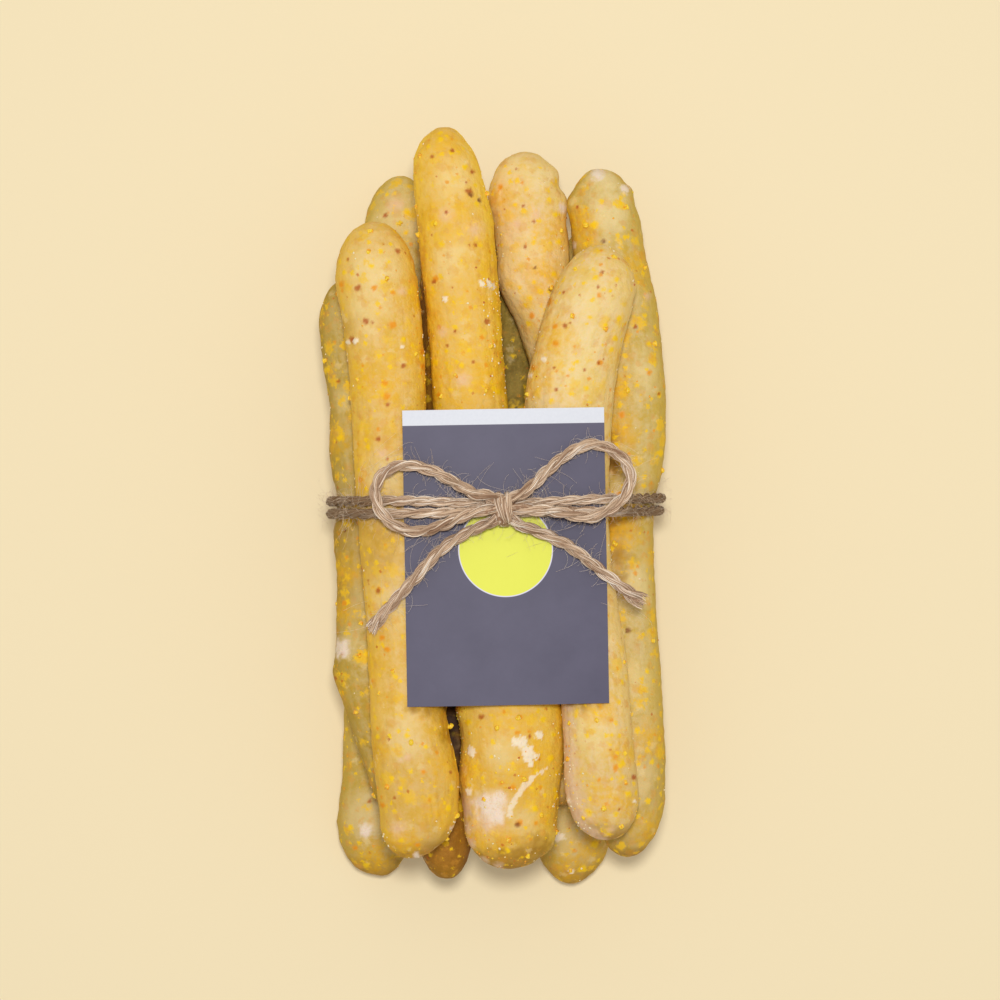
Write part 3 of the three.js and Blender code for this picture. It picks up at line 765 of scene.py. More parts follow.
def make_knot(tree, jute):
    for number, points in enumerate(KNOT_STRANDS):
        piece = grown(
            f"knot_strand_{number + 1}", line_mesh("knot_line", bow_route(points)), tree,
            seed=80 + number, material=jute,
        )
        finish(piece, "twine", "twine_turns_and_knot")


def make_twine():
    tree, jute = twine_tree(), jute_material("jute", 0.0)
    turns = turn_routes()
    make_bow(tree, jute)
    make_turns(tree, turns)
    make_hairs([bow_route(points) for _, points, _, _ in BOW] + turns, jute)
    make_knot(tree, jute)


# ------------------------------------------------------------------ card

CARD_HEIGHT = 77.0 * MM
CARD_MIDDLE = (2.85 * MM, -11.3 * MM)
CARD_TURN = math.radians(1.0)
CARD_EDGE_ANGLE = 0.8                # edges of the solid sharper than this stay crisp
CARD_CORNER_CREASE = 0.6
STRIP_HEIGHT = 4.0 * MM
DISC_MIDDLE = (0.0 * MM, 1.9 * MM)   # from the middle of the card
DISC_RADIUS = 12.1 * MM
DISC_RIM = 0.28 * MM
PRINT_BLUR = 0.12 * MM               # softness of a printed edge

FIELD_DARK, FIELD_PALE = colour(58, 53, 77), colour(86, 81, 104)
PAPER_DARK, PAPER_PALE = colour(206, 208, 216), colour(217, 219, 225)
LIME_DARK, LIME_PALE = colour(216, 218, 56), colour(227, 229, 70)
RIM_COLOUR = colour(214, 210, 228)


def card_print(w, place, mottle, paper):
    """The colours printed on the card: a dark field, a white strip and a lime disc with a rim."""
    turn = {"Vector": w.vector("SUBTRACT", place, (*CARD_MIDDLE, 0)), "Angle": -CARD_TURN}
    on_card = w.node("ShaderNodeVectorRotate", turn, rotation_type="Z_AXIS").outputs[0]
    strip_line = CARD_HEIGHT / 2 - STRIP_HEIGHT
    strip = w.step(w.part(on_card, 1), strip_line - PRINT_BLUR / 2, strip_line + PRINT_BLUR / 2)
    reach = w.vector("DISTANCE", w.vector("MULTIPLY", on_card, (1, 1, 0)), (*DISC_MIDDLE, 0))
    rim = w.step(reach, DISC_RADIUS + DISC_RIM, DISC_RADIUS + DISC_RIM - PRINT_BLUR)
    disc = w.step(reach, DISC_RADIUS, DISC_RADIUS - PRINT_BLUR)
    shown = w.blend(strip, w.blend(mottle, FIELD_DARK, FIELD_PALE), paper)
    shown = w.blend(rim, shown, RIM_COLOUR)
    return w.blend(disc, shown, w.blend(mottle, LIME_DARK, LIME_PALE))


def card_material():
    """Matt paper with its print on the side that faces up."""
    material, w = new_material("card print")
    place = w.node("ShaderNodeTexCoord").outputs["Object"]
    mottle = w.noise(w.scaled(place, 60.0), 1.0, detail=5.0, roughness=0.65)
    fibre = w.noise(w.scaled(place, 1500.0), 2.0, detail=2.0)
    paper = w.blend(fibre, PAPER_DARK, PAPER_PALE)
    up = w.part(w.node("ShaderNodeNewGeometry").outputs["Normal"], 2)
    shown = w.blend(w.step(up, 0.2, 0.6), paper, card_print(w, place, mottle, paper))
    bump = w.node("ShaderNodeBump", {"Height": fibre, "Distance": 0.02 * MM, "Strength": 0.5}).outputs[0]
    w.surface(w.node("ShaderNodeBsdfPrincipled", {"Base Color": shown, "Roughness": 0.55, "Normal": bump}))
    return material


def make_card():
    """The card of the solids, rounded finely between its crisp edges."""
    mesh = merged_copy("card")
    shape = opened(mesh)
    crease = shape.edges.layers.float.new("crease_edge")
    corner = shape.verts.layers.float.new("crease_vert")
    for edge in shape.edges:
        if len(edge.link_faces) == 2 and edge.calc_face_angle() > CARD_EDGE_ANGLE:
            edge[crease] = 1.0
            for end in edge.verts:
                end[corner] = CARD_CORNER_CREASE
    bmesh.ops.join_triangles(shape, faces=shape.faces, angle_face_threshold=0.3, angle_shape_threshold=1.5)
    shape.to_mesh(mesh)
    shape.free()
    holder = linked("card_source", mesh)
    finer = holder.modifiers.new("finer", "SUBSURF")
    finer.levels = finer.render_levels = 2
    piece = linked("printed_card", plain_mesh(holder))
    keep_inside(piece.data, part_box("card"))
    piece.data.materials.clear()
    piece.data.materials.append(card_material())
    piece.data.shade_smooth()
    piece.data.set_sharp_from_angle(angle=0.6)
    finish(piece, "card", "card")


# ------------------------------------------------------------------ breadsticks

# Marks on the crust that faces up: kind, place x and y, and radius, in millimetres.
MARKS = {
    "stick_front_middle": [
        ("dark", -6.2, 83.4, 0.8), ("brown", -6.9, 84.3, 1.1), ("dark", -3.9, 82.1, 0.75),
        ("brown", -19.8, 94.1, 0.5), ("brown", -16.4, 93.3, 0.6), ("brown", -11.2, 95.1, 0.6),
        ("brown", -5.9, 89.5, 0.7), ("brown", -7.5, 86.6, 0.4), ("yellow", -14.3, 98, 0.9),
        ("yellow", -7.8, 90.7, 0.9), ("yellow", -7.3, 74.6, 0.6), ("pink", -12.7, 77.9, 1.6),
        ("brown", -12.7, 78.6, 0.6), ("pink", -5.4, 74, 1.9), ("brown", -4.9, 70.2, 0.7),
        ("orange", -15.4, 61.4, 0.9), ("brown", -15.9, 60.6, 0.7), ("white", -3.4, 60.2, 0.8),
        ("white", -2, 60, 1), ("white", -0.6, 59.6, 0.8), ("white", -13, 56, 0.7),
        ("brown", -2, 50.2, 0.9), ("brown", -10.4, 47.6, 0.5), ("orange", -14.6, 48.8, 0.7),
        ("orange", -3.4, 46, 0.7), ("pink", -13.6, 47.6, 1.2), ("brown", -5.6, 39.6, 0.6),
        ("brown", -12.4, 43.9, 0.5), ("yellow", -8.6, 38.6, 0.8), ("pink", -8.3, 34.9, 1.7),
        ("orange", -14.3, 31, 0.8), ("yellow", 0.7, 31.9, 0.9), ("yellow", -15.6, 39.6, 1),
        ("brown", -3.6, -53.1, 0.9), ("orange", 5.9, -57.1, 0.7), ("orange", 6.7, -53, 0.6),
        ("white", 5.6, -59.8, 1.3), ("white", 7.2, -59.9, 1.5), ("white", 8.2, -61.8, 1.6),
        ("white", 8.6, -63.6, 1.3), ("white", 9.3, -65.2, 0.8), ("white", 11.3, -57.8, 1.1),
        ("brown", 9, -58.2, 0.6), ("white", 10.2, -63.4, 0.9), ("flour", -0.9, -76.8, 3.8),
        ("flour", 0.6, -74.4, 2), ("flour", -2.4, -74.8, 1.8), ("pink", -1.7, -80.2, 3.4),
        ("flour", 0, -78.6, 2), ("pink", -7.6, -76, 2), ("orange", 6.4, -80.6, 1),
        ("dark", 5.9, -81.4, 0.8), ("orange", 4.7, -71.4, 0.8), ("orange", 1.8, -70.3, 0.7),
        ("yellow", 14.7, -64.1, 0.9), ("yellow", 15.3, -58, 0.8), ("yellow", -7, -54.7, 0.9),
        ("yellow", 16, -74.3, 0.9), ("yellow", 10.5, -77.2, 0.9), ("yellow", -3, -69.2, 0.7),
        ("orange", 10.6, -81, 0.6), ("white", -6.7, -73, 0.8), ("white", -6.2, -62.3, 1.2),
        ("bloom", -3, -91.6, 1.2), ("bloom", 1, -92.8, 1.2), ("bloom", -8, -78.5, 1.6),
        ("bloom", -7.8, -82.5, 1.7), ("bloom", -6.6, -86.8, 1.6), ("orange", -6.4, -86, 0.9),
        ("yellow", 3.4, -88, 0.8),
    ],
    "stick_front_left": [
        ("brown", -35.7, 58.8, 1), ("brown", -25.5, 68.5, 0.8), ("brown", -33.6, 50, 1),
        ("brown", -31.9, 49.7, 0.6), ("brown", -37.3, 45.4, 0.9), ("white", -36.2, 45, 0.7),
        ("white", -38.3, 44.9, 0.5), ("orange", -31.3, 58.6, 0.9), ("orange", -26.6, 57.5, 0.7),
        ("orange", -26.6, 49.2, 1.1), ("orange", -29.9, 53.6, 0.5), ("pink", -24.2, 58, 1),
        ("orange", -40, 60, 1), ("yellow", -39.3, 63, 0.7), ("yellow", -32, 64.4, 0.8),
        ("brown", -38.4, 66.4, 0.5), ("brown", -23.7, 38.5, 0.8), ("orange", -28.2, 30.5, 1.1),
        ("orange", -28.7, 33.9, 0.9), ("brown", -28, 28.4, 0.7), ("yellow", -23.9, 45.3, 0.8),
        ("white", -24.4, 43.6, 0.6), ("orange", -19.2, 42.5, 0.8), ("orange", -19, 38.5, 0.7),
        ("brown", -30.4, 19.3, 0.8), ("pink", -29.6, 15.7, 1.1), ("yellow", -37.6, 16, 0.9),
        ("orange", -35.1, 8.8, 0.8), ("yellow", -35.4, -9, 0.8), ("orange", -22.6, -9.2, 0.8),
        ("brown", -30.4, -20.2, 0.9), ("brown", -33, -17.6, 0.4), ("pink", -26, -20.8, 0.9),
        ("orange", -29.3, -32.4, 0.8), ("yellow", -34, -36, 0.8), ("orange", -28, -35.4, 0.9),
        ("pink", -25.3, -81.9, 1.7), ("pink", -22.9, -63.4, 0.8), ("pink", -24.4, -64.2, 0.6),
        ("yellow", -22.9, -57.8, 0.8), ("orange", -18.5, -67.2, 0.8), ("yellow", -18, -60.7, 0.7),
        ("yellow", -24.5, -71.4, 0.7), ("yellow", -12.2, -76.9, 0.9), ("orange", -29.2, -76.1, 0.8),
        ("brown", -26, -74, 0.5), ("orange", -17, -74.6, 0.6), ("brown", -27.6, -58.8, 0.4),
        ("yellow", -30.5, -58.3, 0.7), ("flour", -10.9, -82.5, 0.8), ("flour", -20.6, -89.4, 0.9),
        ("orange", -20.3, -86.4, 0.8), ("brown", -11.6, -67.6, 0.5), ("orange", -31, -72, 0.7),
    ],
    "stick_front_right": [
        ("brown", 28, 63, 0.6), ("brown", 26.9, 59.1, 0.6), ("brown", 18.1, 57.8, 0.5),
        ("brown", 18.3, 48.9, 0.7), ("brown", 19.6, 49.6, 0.4), ("orange", 27.2, 39.4, 0.9),
        ("brown", 27, 39.3, 0.5), ("brown", 23.3, 37.2, 0.5), ("brown", 15.4, 38, 0.5),
        ("brown", 16, 32.2, 0.6), ("yellow", 24.8, 51, 0.8), ("yellow", 28.8, 49.2, 0.7),
        ("yellow", 31.4, 45.8, 0.9), ("orange", 15.7, 48.9, 0.8), ("orange", 15.9, 44.4, 0.9),
        ("orange", 14.3, 55.6, 1.4), ("dark", 14.6, 58.2, 0.7), ("white", 12.8, 40.3, 0.6),
        ("yellow", 21.3, 39.5, 0.7), ("orange", 19, 35.8, 0.5), ("orange", 10.2, 38.2, 0.8),
        ("white", 9.2, 36.2, 0.6), ("yellow", 30.2, 58, 0.6), ("orange", 27.2, 57, 0.7),
        ("yellow", 23.8, 32.6, 0.8), ("bloom", 18, -51, 2.2), ("bloom", 18.3, -54.5, 2.2),
        ("bloom", 18.5, -58, 2.3), ("bloom", 18.7, -61.5, 2.3), ("bloom", 19, -65, 2.4),
        ("bloom", 19.2, -68.5, 2.5), ("bloom", 19.6, -72, 2.6), ("bloom", 20.2, -75.5, 2.7),
        ("bloom", 21.2, -78.8, 2.7), ("bloom", 22.6, -81.8, 2.5), ("bloom", 24.8, -84.4, 2.2),
        ("bloom", 27.6, -85.8, 1.8), ("pale", 25.6, -56.5, 4.5), ("white", 19.3, -75.2, 0.7),
        ("yellow", 24.3, -78.3, 1.3), ("orange", 31.4, -66.2, 0.9), ("yellow", 30.4, -57.8, 0.6),
        ("orange", 27.2, -69.4, 0.6), ("brown", 36.4, -69.2, 0.9), ("orange", 30.4, -54, 0.6),
        ("brown", 32.4, -77.2, 0.4), ("yellow", 34.8, -73.2, 0.9), ("yellow", 21, -52.8, 0.8),
        ("white", 36.5, -75.4, 0.5), ("pink", 30.4, -82.4, 0.8),
    ],
    "stick_middle_inner_right": [
        ("pink", 11, 79.6, 1), ("brown", 10.4, 77.6, 0.5), ("dark", 10.7, 65.3, 0.5),
        ("brown", 8, 70.9, 0.6), ("pink", 6, 77, 0.8), ("brown", 7.5, 81.8, 0.6),
        ("orange", 7.3, 88, 0.6), ("orange", 1.5, 87, 0.8), ("yellow", 5.4, 82, 0.7),
        ("yellow", 16, 79.6, 0.8), ("yellow", 17, 72.4, 0.9), ("yellow", 14.6, 72, 0.6),
        ("yellow", 15.6, 63.6, 0.8), ("yellow", 10.4, 61.5, 0.8), ("yellow", 6.8, 60, 0.8),
        ("yellow", 9.4, 57.3, 0.8), ("dark", 15, 59.6, 0.8), ("orange", 9.8, 52.6, 0.9),
        ("flour", 18, 81.6, 1.2), ("brown", 5.6, 91.8, 0.4),
    ],
    "stick_middle_right": [
        ("flour", 27.4, 90.6, 1.7), ("flour", 34.6, 86.6, 1.2), ("pink", 28.4, 81.6, 0.6),
        ("dark", 28.9, 72.4, 0.7), ("flour", 21, 71.6, 0.9), ("yellow", 26.4, 76.8, 1.3),
        ("yellow", 34.6, 73.4, 0.7), ("dark", 35.3, -31.2, 0.8), ("orange", 41, 37.4, 0.8),
        ("brown", 22, 81.8, 0.5), ("pink", 40.6, 57.8, 0.9), ("brown", 37.4, 49.6, 0.7),
        ("yellow", 39.8, 52.6, 0.8), ("yellow", 41, 45, 0.8), ("brown", 43.6, 31.8, 0.5),
        ("orange", 33, 4.6, 1.2), ("orange", 33.6, 26, 1), ("yellow", 44, 16, 0.9),
        ("light_toast", 35.4, -87, 3.6), ("light_toast", 39, -86.4, 2.8),
    ],
    "stick_middle_left": [
        ("flour", -41, -36, 2.4), ("flour", -44, -62, 2.6), ("flour", -40, -73, 2.2),
        ("brown", -40.4, -37.4, 0.8), ("brown", -42.4, -44, 0.5), ("orange", -40, -24, 0.8),
        ("dark", -40, -4.6, 0.5), ("brown", -41.6, 35, 0.6), ("yellow", -45, 38, 1),
        ("yellow", -41, 20, 1.1), ("yellow", -44.6, 8, 1.2), ("yellow", -43, -14, 1.4),
        ("brown", -43, -84, 0.6), ("orange", -39.4, -82, 0.6),
    ],
    "stick_bottom_left": [
        ("yellow", -24, 81.6, 1), ("yellow", -24.3, 76, 0.8), ("brown", -29.9, 80.8, 0.8),
        ("pink", -27, 84, 2), ("flour", -35, -86, 1.6), ("orange", -38, -91, 0.8),
        ("yellow", -35, -96, 1.2), ("brown", -34, -78, 0.7),
    ],
    "stick_bottom_right": [
        ("white", 17.4, -88, 1.4), ("yellow", 27, -90, 1.2), ("yellow", 24, -97, 1.2),
        ("orange", 21.6, -91.6, 0.6), ("white", 21, -97.6, 0.7),
    ],
}

# Creases of the crust: the two ends of each, how wide and how deep, in millimetres.
CREASES = {
    "stick_front_left": [
        ((-10.6, -52), (-9.6, -68), 0.9, 0.9), ((-17, -72.5), (-15, -84.5), 0.7, 0.25),
        ((-15.2, -71), (-13.6, -82), 0.6, 0.2), ((-18.6, -75), (-16.6, -85.5), 0.6, 0.2),
    ],
    "stick_middle_inner_right": [((7.3, 91), (8, 80), 1.4, 0.35)],
    "stick_middle_right": [((25.2, 88.5), (22.6, 82), 2.2, 0.5), ((22.6, 82), (25.6, 71), 2.2, 0.5)],
    "stick_bottom_left": [((-31, -92), (-20, -98), 0.9, 0.5)],
}

# Torn streaks of the crust: points along them, and half their width, in millimetres.
STREAKS = {
    "stick_front_middle": [
        ([(4, -78.6), (4.2, -76.4), (5.6, -73.8), (7.6, -71.2), (9.4, -69.4)], 0.9),
        ([(9.4, -69.4), (11.8, -67.6), (13.6, -66.8)], 0.4),
    ],
}

# Where a breadstick's outline leaves the smooth shape: place x and y, reach, and the push in x
# and y, in millimetres.
NUDGES = {
    "stick_front_middle": [
        (-19.5, 97.5, 5, -0.4, 0.2), (-13, 101.5, 5, 0, 0.4), (-8.5, 98, 4, -0.5, -0.2),
        (-7.6, -90.5, 4.5, 0.6, 0.3), (-9.2, -71, 4.5, -0.9, 0), (8, -95, 3, 0, 0.5),
        (12, -91, 2.5, -0.3, 0.6), (-9.2, -60, 3, 0.5, 0), (-9, -52, 2, -0.5, 0), (18, -53, 8, 0.8, 0),
        (18, -66, 8, 0.6, 0),
    ],
    "stick_middle_inner_right": [
        (16.2, 91.5, 2.2, 0.5, 0.4), (17.3, 87.4, 1.8, -0.6, 0), (19, 83.4, 3, 0.9, 0),
        (8, 97, 6, 0, 0.4), (1.6, 93.5, 4, -0.3, 0.5), (0.6, 84, 6, -1.3, 0), (1, 74, 6, -0.8, 0),
        (3.6, 65, 5, -0.9, 0), (5.4, 59, 5, -1.2, 0),
    ],
    "stick_middle_right": [
        (26.5, 93, 4, -0.6, 0.3), (32.5, 92.5, 4, 0.4, 0.1), (39, 78, 5, 0.5, 0),
        (20.2, 83, 3, -1.1, 0), (35.8, 86.4, 2, 0.5, 0.3), (37.4, 81.5, 2, -0.3, 0),
        (44.6, -44, 14, -0.7, 0), (44.6, -62, 12, -0.6, 0), (46, 3, 5, -1.3, 0),
    ],
    "stick_front_left": [
        (-40, 66, 5, 0.3, -0.2), (-9.4, -70, 4, 0.5, 0), (-10.4, -53, 3.5, -1.1, 0),
        (-11, -58.8, 3, -0.6, 0),
    ],
    "stick_front_right": [(27, 70, 5, 0.3, 0.3), (37, 52, 5, 0.3, 0), (21, -82, 4, -0.4, -0.2)],
    "stick_middle_left": [
        (-46, 2.5, 5, 1.3, 0), (-44.5, -44, 5, -0.9, 0), (-42.5, -56, 4, 0.4, 0),
        (-45.6, 30, 8, 0.3, 0),
    ],
    "stick_bottom_left": [(-34, -100, 5, 0.3, 1.2), (-26, 91.5, 5, 0.4, 0.5)],
    "stick_bottom_middle": [(-8.6, -93, 5, 0.8, 0)],
    "stick_bottom_right": [(13, -91, 6, -1.3, 0), (23, -97, 6, -0.8, 0)],
}

# Soft patches of the crust that faces up, baked deeper or left paler, and patches of painted shade and
# shadow where the card, the twine or other breadsticks shade a crust: kind, place x and y, and radius, in
# millimetres.
PATCHES = {
    "stick_front_middle": [
        ("amber", -2, 66, 4.5), ("amber", -1, 56, 4), ("amber", -17.5, 53, 3.5), ("amber", -17, 33, 4),
        ("amber", 0.5, 36, 5), ("pale", -10, 88, 4.5), ("pale", -11, 66, 4.5), ("amber", -18, 78, 3),
        ("amber", -8, -67.5, 3.5), ("amber", -5, -85, 3.5), ("amber", 10, -66, 5), ("pale", 2, -63, 4),
        ("amber", 13, -78, 4), ("pale", 8, -80, 3.5), ("toast", -4, -91.5, 4), ("toast", 1.5, -92, 4.5),
        ("toast", 7, -91.5, 4.5), ("toast", 11.5, -88.5, 4), ("light_toast", 15, -80, 4),
    ],
    "stick_front_left": [
        ("pale", -32, 63, 7), ("pale", -34, 53, 5), ("amber", -20.5, 56, 4.5), ("amber", -19, 44, 5),
        ("amber", -27.5, 33, 4.5), ("amber", -34, 35, 4), ("pale", -28, 10, 5), ("amber", -36, 18, 3),
        ("pale", -27, -22, 6), ("amber", -34, -40, 4), ("amber", -12, -54, 4.5),
        ("amber", -31, -62, 3.5), ("pale", -24, -60, 5), ("amber", -13, -66, 3.5),
        ("amber", -24, -86.5, 4), ("amber", -14, -78, 3.5), ("light_toast", -40.5, 48, 4),
        ("light_toast", -31.6, -62, 4), ("toast", -12.4, -57.5, 2.4), ("light_toast", -31, -4, 6),
        ("light_toast", -31, -12, 5), ("toast", -21, -50.6, 1.4), ("toast", -17, -50.8, 2),
        ("toast", -13, -51.5, 3), ("gap_shade", -12.4, -50.2, 1.5),
    ],
    "stick_front_right": [
        ("pale", 26, 56, 6), ("pale", 23, 43, 6), ("amber", 15.4, 45.5, 4.5), ("amber", 10.5, 35, 4),
        ("pale", 20, 36, 4.5), ("amber", 32.5, 40, 3), ("amber", 27.5, -51, 4), ("amber", 33, -62, 3.5),
        ("pale", 25.5, -58, 5), ("amber", 29, -75, 4), ("amber", 34, -76, 3), ("toast", 19.5, -50, 1.6),
        ("toast", 23.5, -49.8, 1.6), ("toast", 27.5, -49.6, 1.2),
    ],
    "stick_middle_inner_right": [
        ("amber", 1, 84, 2.5), ("pale", 5, 92, 4), ("amber", 16.5, 75, 4.5), ("pale", 11, 89, 4),
        ("pale", 9, 69, 5), ("amber", 14, 64, 4), ("pale", 6, 59, 4), ("pale", 12, 53, 4),
        ("pale", 2.6, 68, 4),
    ],
    "stick_middle_right": [
        ("amber", 22.5, 78, 4), ("amber", 24.5, 74, 3), ("pale", 30.5, 80, 5), ("pale", 29, 88, 4),
        ("amber", 38, 66, 4), ("amber", 31, 33, 4), ("amber", 32, -4, 6), ("pale", 41, 38, 4),
        ("amber", 33, 22, 4), ("pale", 40, -20, 5), ("amber", 43, -12, 3), ("amber", 41, -60, 4),
        ("pale", 37, -44, 5), ("amber", 42, -84, 4), ("pale", 38, -70, 4), ("toast", 31, 20, 2.4),
        ("toast", 31.4, 12, 2.4), ("toast", 31.6, -4, 2.8), ("toast", 32.4, -11, 3.2),
        ("toast", 32, -18, 2.6),
    ],
    "stick_middle_left": [
        ("pale", -41, 30, 3), ("amber", -44, 20, 4), ("pale", -43, 4, 3.5), ("amber", -41, -16, 4),
        ("pale", -41, -34, 4), ("amber", -40.5, -26, 3), ("amber", -43.5, -48, 4),
        ("pale", -42, -60, 4), ("amber", -42, -72, 3), ("light_toast", -42, -6, 7),
        ("light_toast", -42, -18, 6),
    ],
    "stick_bottom_left": [("pale", -27, 80, 7), ("pale", -37, -82, 5), ("amber", -33, -94, 4)],
    "stick_bottom_right": [("pale", 20, -86, 5.5), ("amber", 26, -91, 4), ("amber", 20, -96, 4)],
    # painted shade where these two breadsticks show deep in the gaps
    "stick_middle_inner_left": [
        ("gap_shade", -11.6, -50, 4), ("gap_shade", -11.6, -56, 4.5), ("gap_shade", -11.4, -62, 4.5),
        ("gap_shade", -11, -68, 4),
    ],
    "stick_bottom_middle": [
        ("gap_shade", -11, -62, 5), ("gap_shade", -10.6, -68, 4.5), ("gap_shade", -10.4, -74, 4),
    ],
}

# Each kind of mark: the layer of colour that it goes to, how far it stands out in millimetres,
# how soft its edge is, and how much it shows.
MARK_KINDS = {
    "dark": ("dark", -0.45, 0.5, 1.0),
    "brown": ("brown", -0.10, 0.5, 1.0),
    "orange": ("orange", 0.03, 0.5, 1.0),
    "yellow": ("yellow", 0.10, 0.5, 1.0),
    "pink": ("pink", 0.03, 0.9, 1.0),
    "white": ("white", 0.22, 0.22, 1.0),
    "flour": ("flour", 0.04, 0.55, 1.0),
    "pale": ("pale", 0.0, 0.9, 1.0),
    "amber": ("amber", 0.0, 0.9, 1.0),
    # painted shade and shadow, full and faint: under the card's edge and the twine loops, and on the lower
    # ends
    "toast": ("toast", 0.0, 0.9, 1.0),
    "light_toast": ("toast", 0.0, 0.9, 0.42),
    # painted shade in deep gaps between breadsticks and under the card's edge
    "gap_shade": ("gap_shade", 0.0, 0.9, 1.0),
    "bloom": ("bloom", 0.03, 0.7, 1.0),
}
SPECK_MARKS = ("dark", "brown", "orange", "yellow")
SPECK_SIZE = 0.8                 # specks are made this much smaller than their listed radius
RAGGED, TORN = 1.3, 2.0          # how ragged the edge of a mark is, and that of a torn white one
SKEW = np.array([(0.74, -0.51, 0.44), (0.63, 0.75, -0.19), (-0.23, 0.42, 0.88)])

FOOT_SLOPE = (0.2, 0.85)         # painted shade on the lower ends where they turn under, from and to
FOOT_PLACE = (55, 75)            # and where they lie, in millimetres below the middle
# fainter painted shade over the whole lower part: how much, and from where to where below the middle, in
# millimetres
LOW_SHADE, LOW_PLACE = 0.2, (50, 72)

WIDE_CREASE = 1.0                # creases from this width on get less painted shade
CREASE_SHADES = (0.1, 0.04)
CREASE_WAVER, CREASE_GRAIN = 1.2, 3.0
STREAK_WAVER, STREAK_GRAIN = 1.6, 1.3
STREAK_SHOW, STREAK_RISE = 0.8, 0.05


def lattice_noise(places, seed):
    """Smooth noise from 0 to 1 with a grain of one unit, for an array of places."""
    base = np.floor(places).astype(np.int64)
    part = places - base
    part = part * part * (3 - 2 * part)
    total = np.zeros(len(places))
    for corner in np.ndindex(2, 2, 2):
        cell = base + corner
        mixed = cell[:, 0] * 73856093 ^ cell[:, 1] * 19349663 ^ cell[:, 2] * 83492791 ^ seed * 26544357
        mixed = (mixed ^ (mixed >> 13)) * 1274126177 & 0xFFFFFFFF
        value = ((mixed ^ (mixed >> 16)) & 0xFFFF) / 65535
        total += value * np.where(corner, part, 1 - part).prod(axis=1)
    return total


def ragged(places, grain, seed):
    """Noise of two sizes, the larger about one grain wide, on a lattice that is turned from the axes."""
    turned = places @ SKEW
    return 0.6 * lattice_noise(turned / grain, seed) + 0.4 * lattice_noise(turned / (0.4 * grain), seed + 50)


def smooth_step(value, low, high):
    share = np.clip((value - low) / (high - low), 0, 1)
    return share * share * (3 - 2 * share)


def distance_to_line(places, first, second):
    """How far places are from a line between two points, and how far along it they lie."""
    first, second = np.array(first), np.array(second)
    reach = second - first
    share = np.clip(((places - first) @ reach) / (reach @ reach), 0, 1)
    return np.linalg.norm(places - first - share[:, None] * reach, axis=1), share


class Skin:
    """The corners of a breadstick's skin in millimetres, with the layers of marks that go on them."""

    def __init__(self, mesh):
        self.mesh = mesh
        self.places = corners(mesh) / MM
        self.flat = self.places[:, :2]
        self.normals = corner_normals(mesh)
        self.upward = smooth_step(self.normals[:, 2], -0.05, 0.3)
        self.layers = {kind[0]: np.zeros(len(self.places)) for kind in MARK_KINDS.values()}
        self.rise = np.zeros(len(self.places))

    def cover(self, layer, mask):
        self.layers[layer] = np.maximum(self.layers[layer], mask)

    def toast_foot(self):
        """Paints shade on the lower end of a breadstick where it turns under, and fainter shade on its whole
        lower part.
        """
        foot = smooth_step(-self.normals[:, 1], *FOOT_SLOPE) * smooth_step(-self.flat[:, 1], *FOOT_PLACE)
        self.cover("toast", np.maximum(foot, LOW_SHADE * smooth_step(-self.flat[:, 1], *LOW_PLACE)))

    def mark(self, number, kind, x, y, radius):
        """One spot, with a ragged edge of its own."""
        layer, height, soft, strength = MARK_KINDS[kind]
        if kind in SPECK_MARKS:
            radius *= SPECK_SIZE
        reach = np.linalg.norm(self.flat - (x, y), axis=1)
        near = np.flatnonzero(reach < 2.2 * radius + 0.6)
        if not len(near):
            return
        rough = ragged(self.places[near], 0.5 * radius + 0.2, number + 7)
        edge = reach[near] / radius + (TORN if kind == "white" else RAGGED) * (rough - 0.5)
        mask = strength * (1 - smooth_step(edge, 1 - soft, 1 + soft)) * self.upward[near]
        self.layers[layer][near] = np.maximum(self.layers[layer][near], mask)
        self.rise[near] += height * mask

    def crease(self, first, second, width, depth):
        """A crease from one point to another, with painted shade in it, which fades at both ends."""
        reach, share = distance_to_line(self.flat, first, second)
        fade = smooth_step(share, -0.01, 0.15) * (1 - smooth_step(share, 0.85, 1.01))
        wavy = reach + CREASE_WAVER * (ragged(self.places, CREASE_GRAIN, 5) - 0.5)
        self.rise -= depth * np.exp(-((wavy / width) ** 2)) * fade * self.upward
        # painted shade in the crease, on the layer of dark specks
        shade = CREASE_SHADES[0 if width < WIDE_CREASE else 1]
        self.cover("dark", shade * np.exp(-((wavy / (0.5 * width)) ** 2)) * fade * self.upward)

    def streak(self, points, half_width):
        """A torn streak that shows the pale dough."""
        reach = np.min([distance_to_line(self.flat, a, b)[0] for a, b in zip(points, points[1:])], axis=0)
        rough = reach + STREAK_WAVER * (ragged(self.places, STREAK_GRAIN, 9) - 0.5)
        mask = (1 - smooth_step(rough, 0.6 * half_width, half_width)) * self.upward
        self.cover("white", STREAK_SHOW * mask)
        self.rise += STREAK_RISE * mask

    def write(self):
        for name, values in self.layers.items():
            write_numbers(self.mesh, name, values)
        write_numbers(self.mesh, "rise", self.rise * MM)


def mark_crust(node, mesh):
    """Writes the marks and the painted shade of a breadstick as attributes, and how far each spot stands out
    as its rise.
    """
    skin = Skin(mesh)
    skin.toast_foot()
    for number, spot in enumerate(MARKS.get(node, []) + PATCHES.get(node, [])):
        skin.mark(number, *spot)
    for crease in CREASES.get(node, []):
        skin.crease(*crease)
    for streak in STREAKS.get(node, []):
        skin.streak(*streak)
    skin.write()


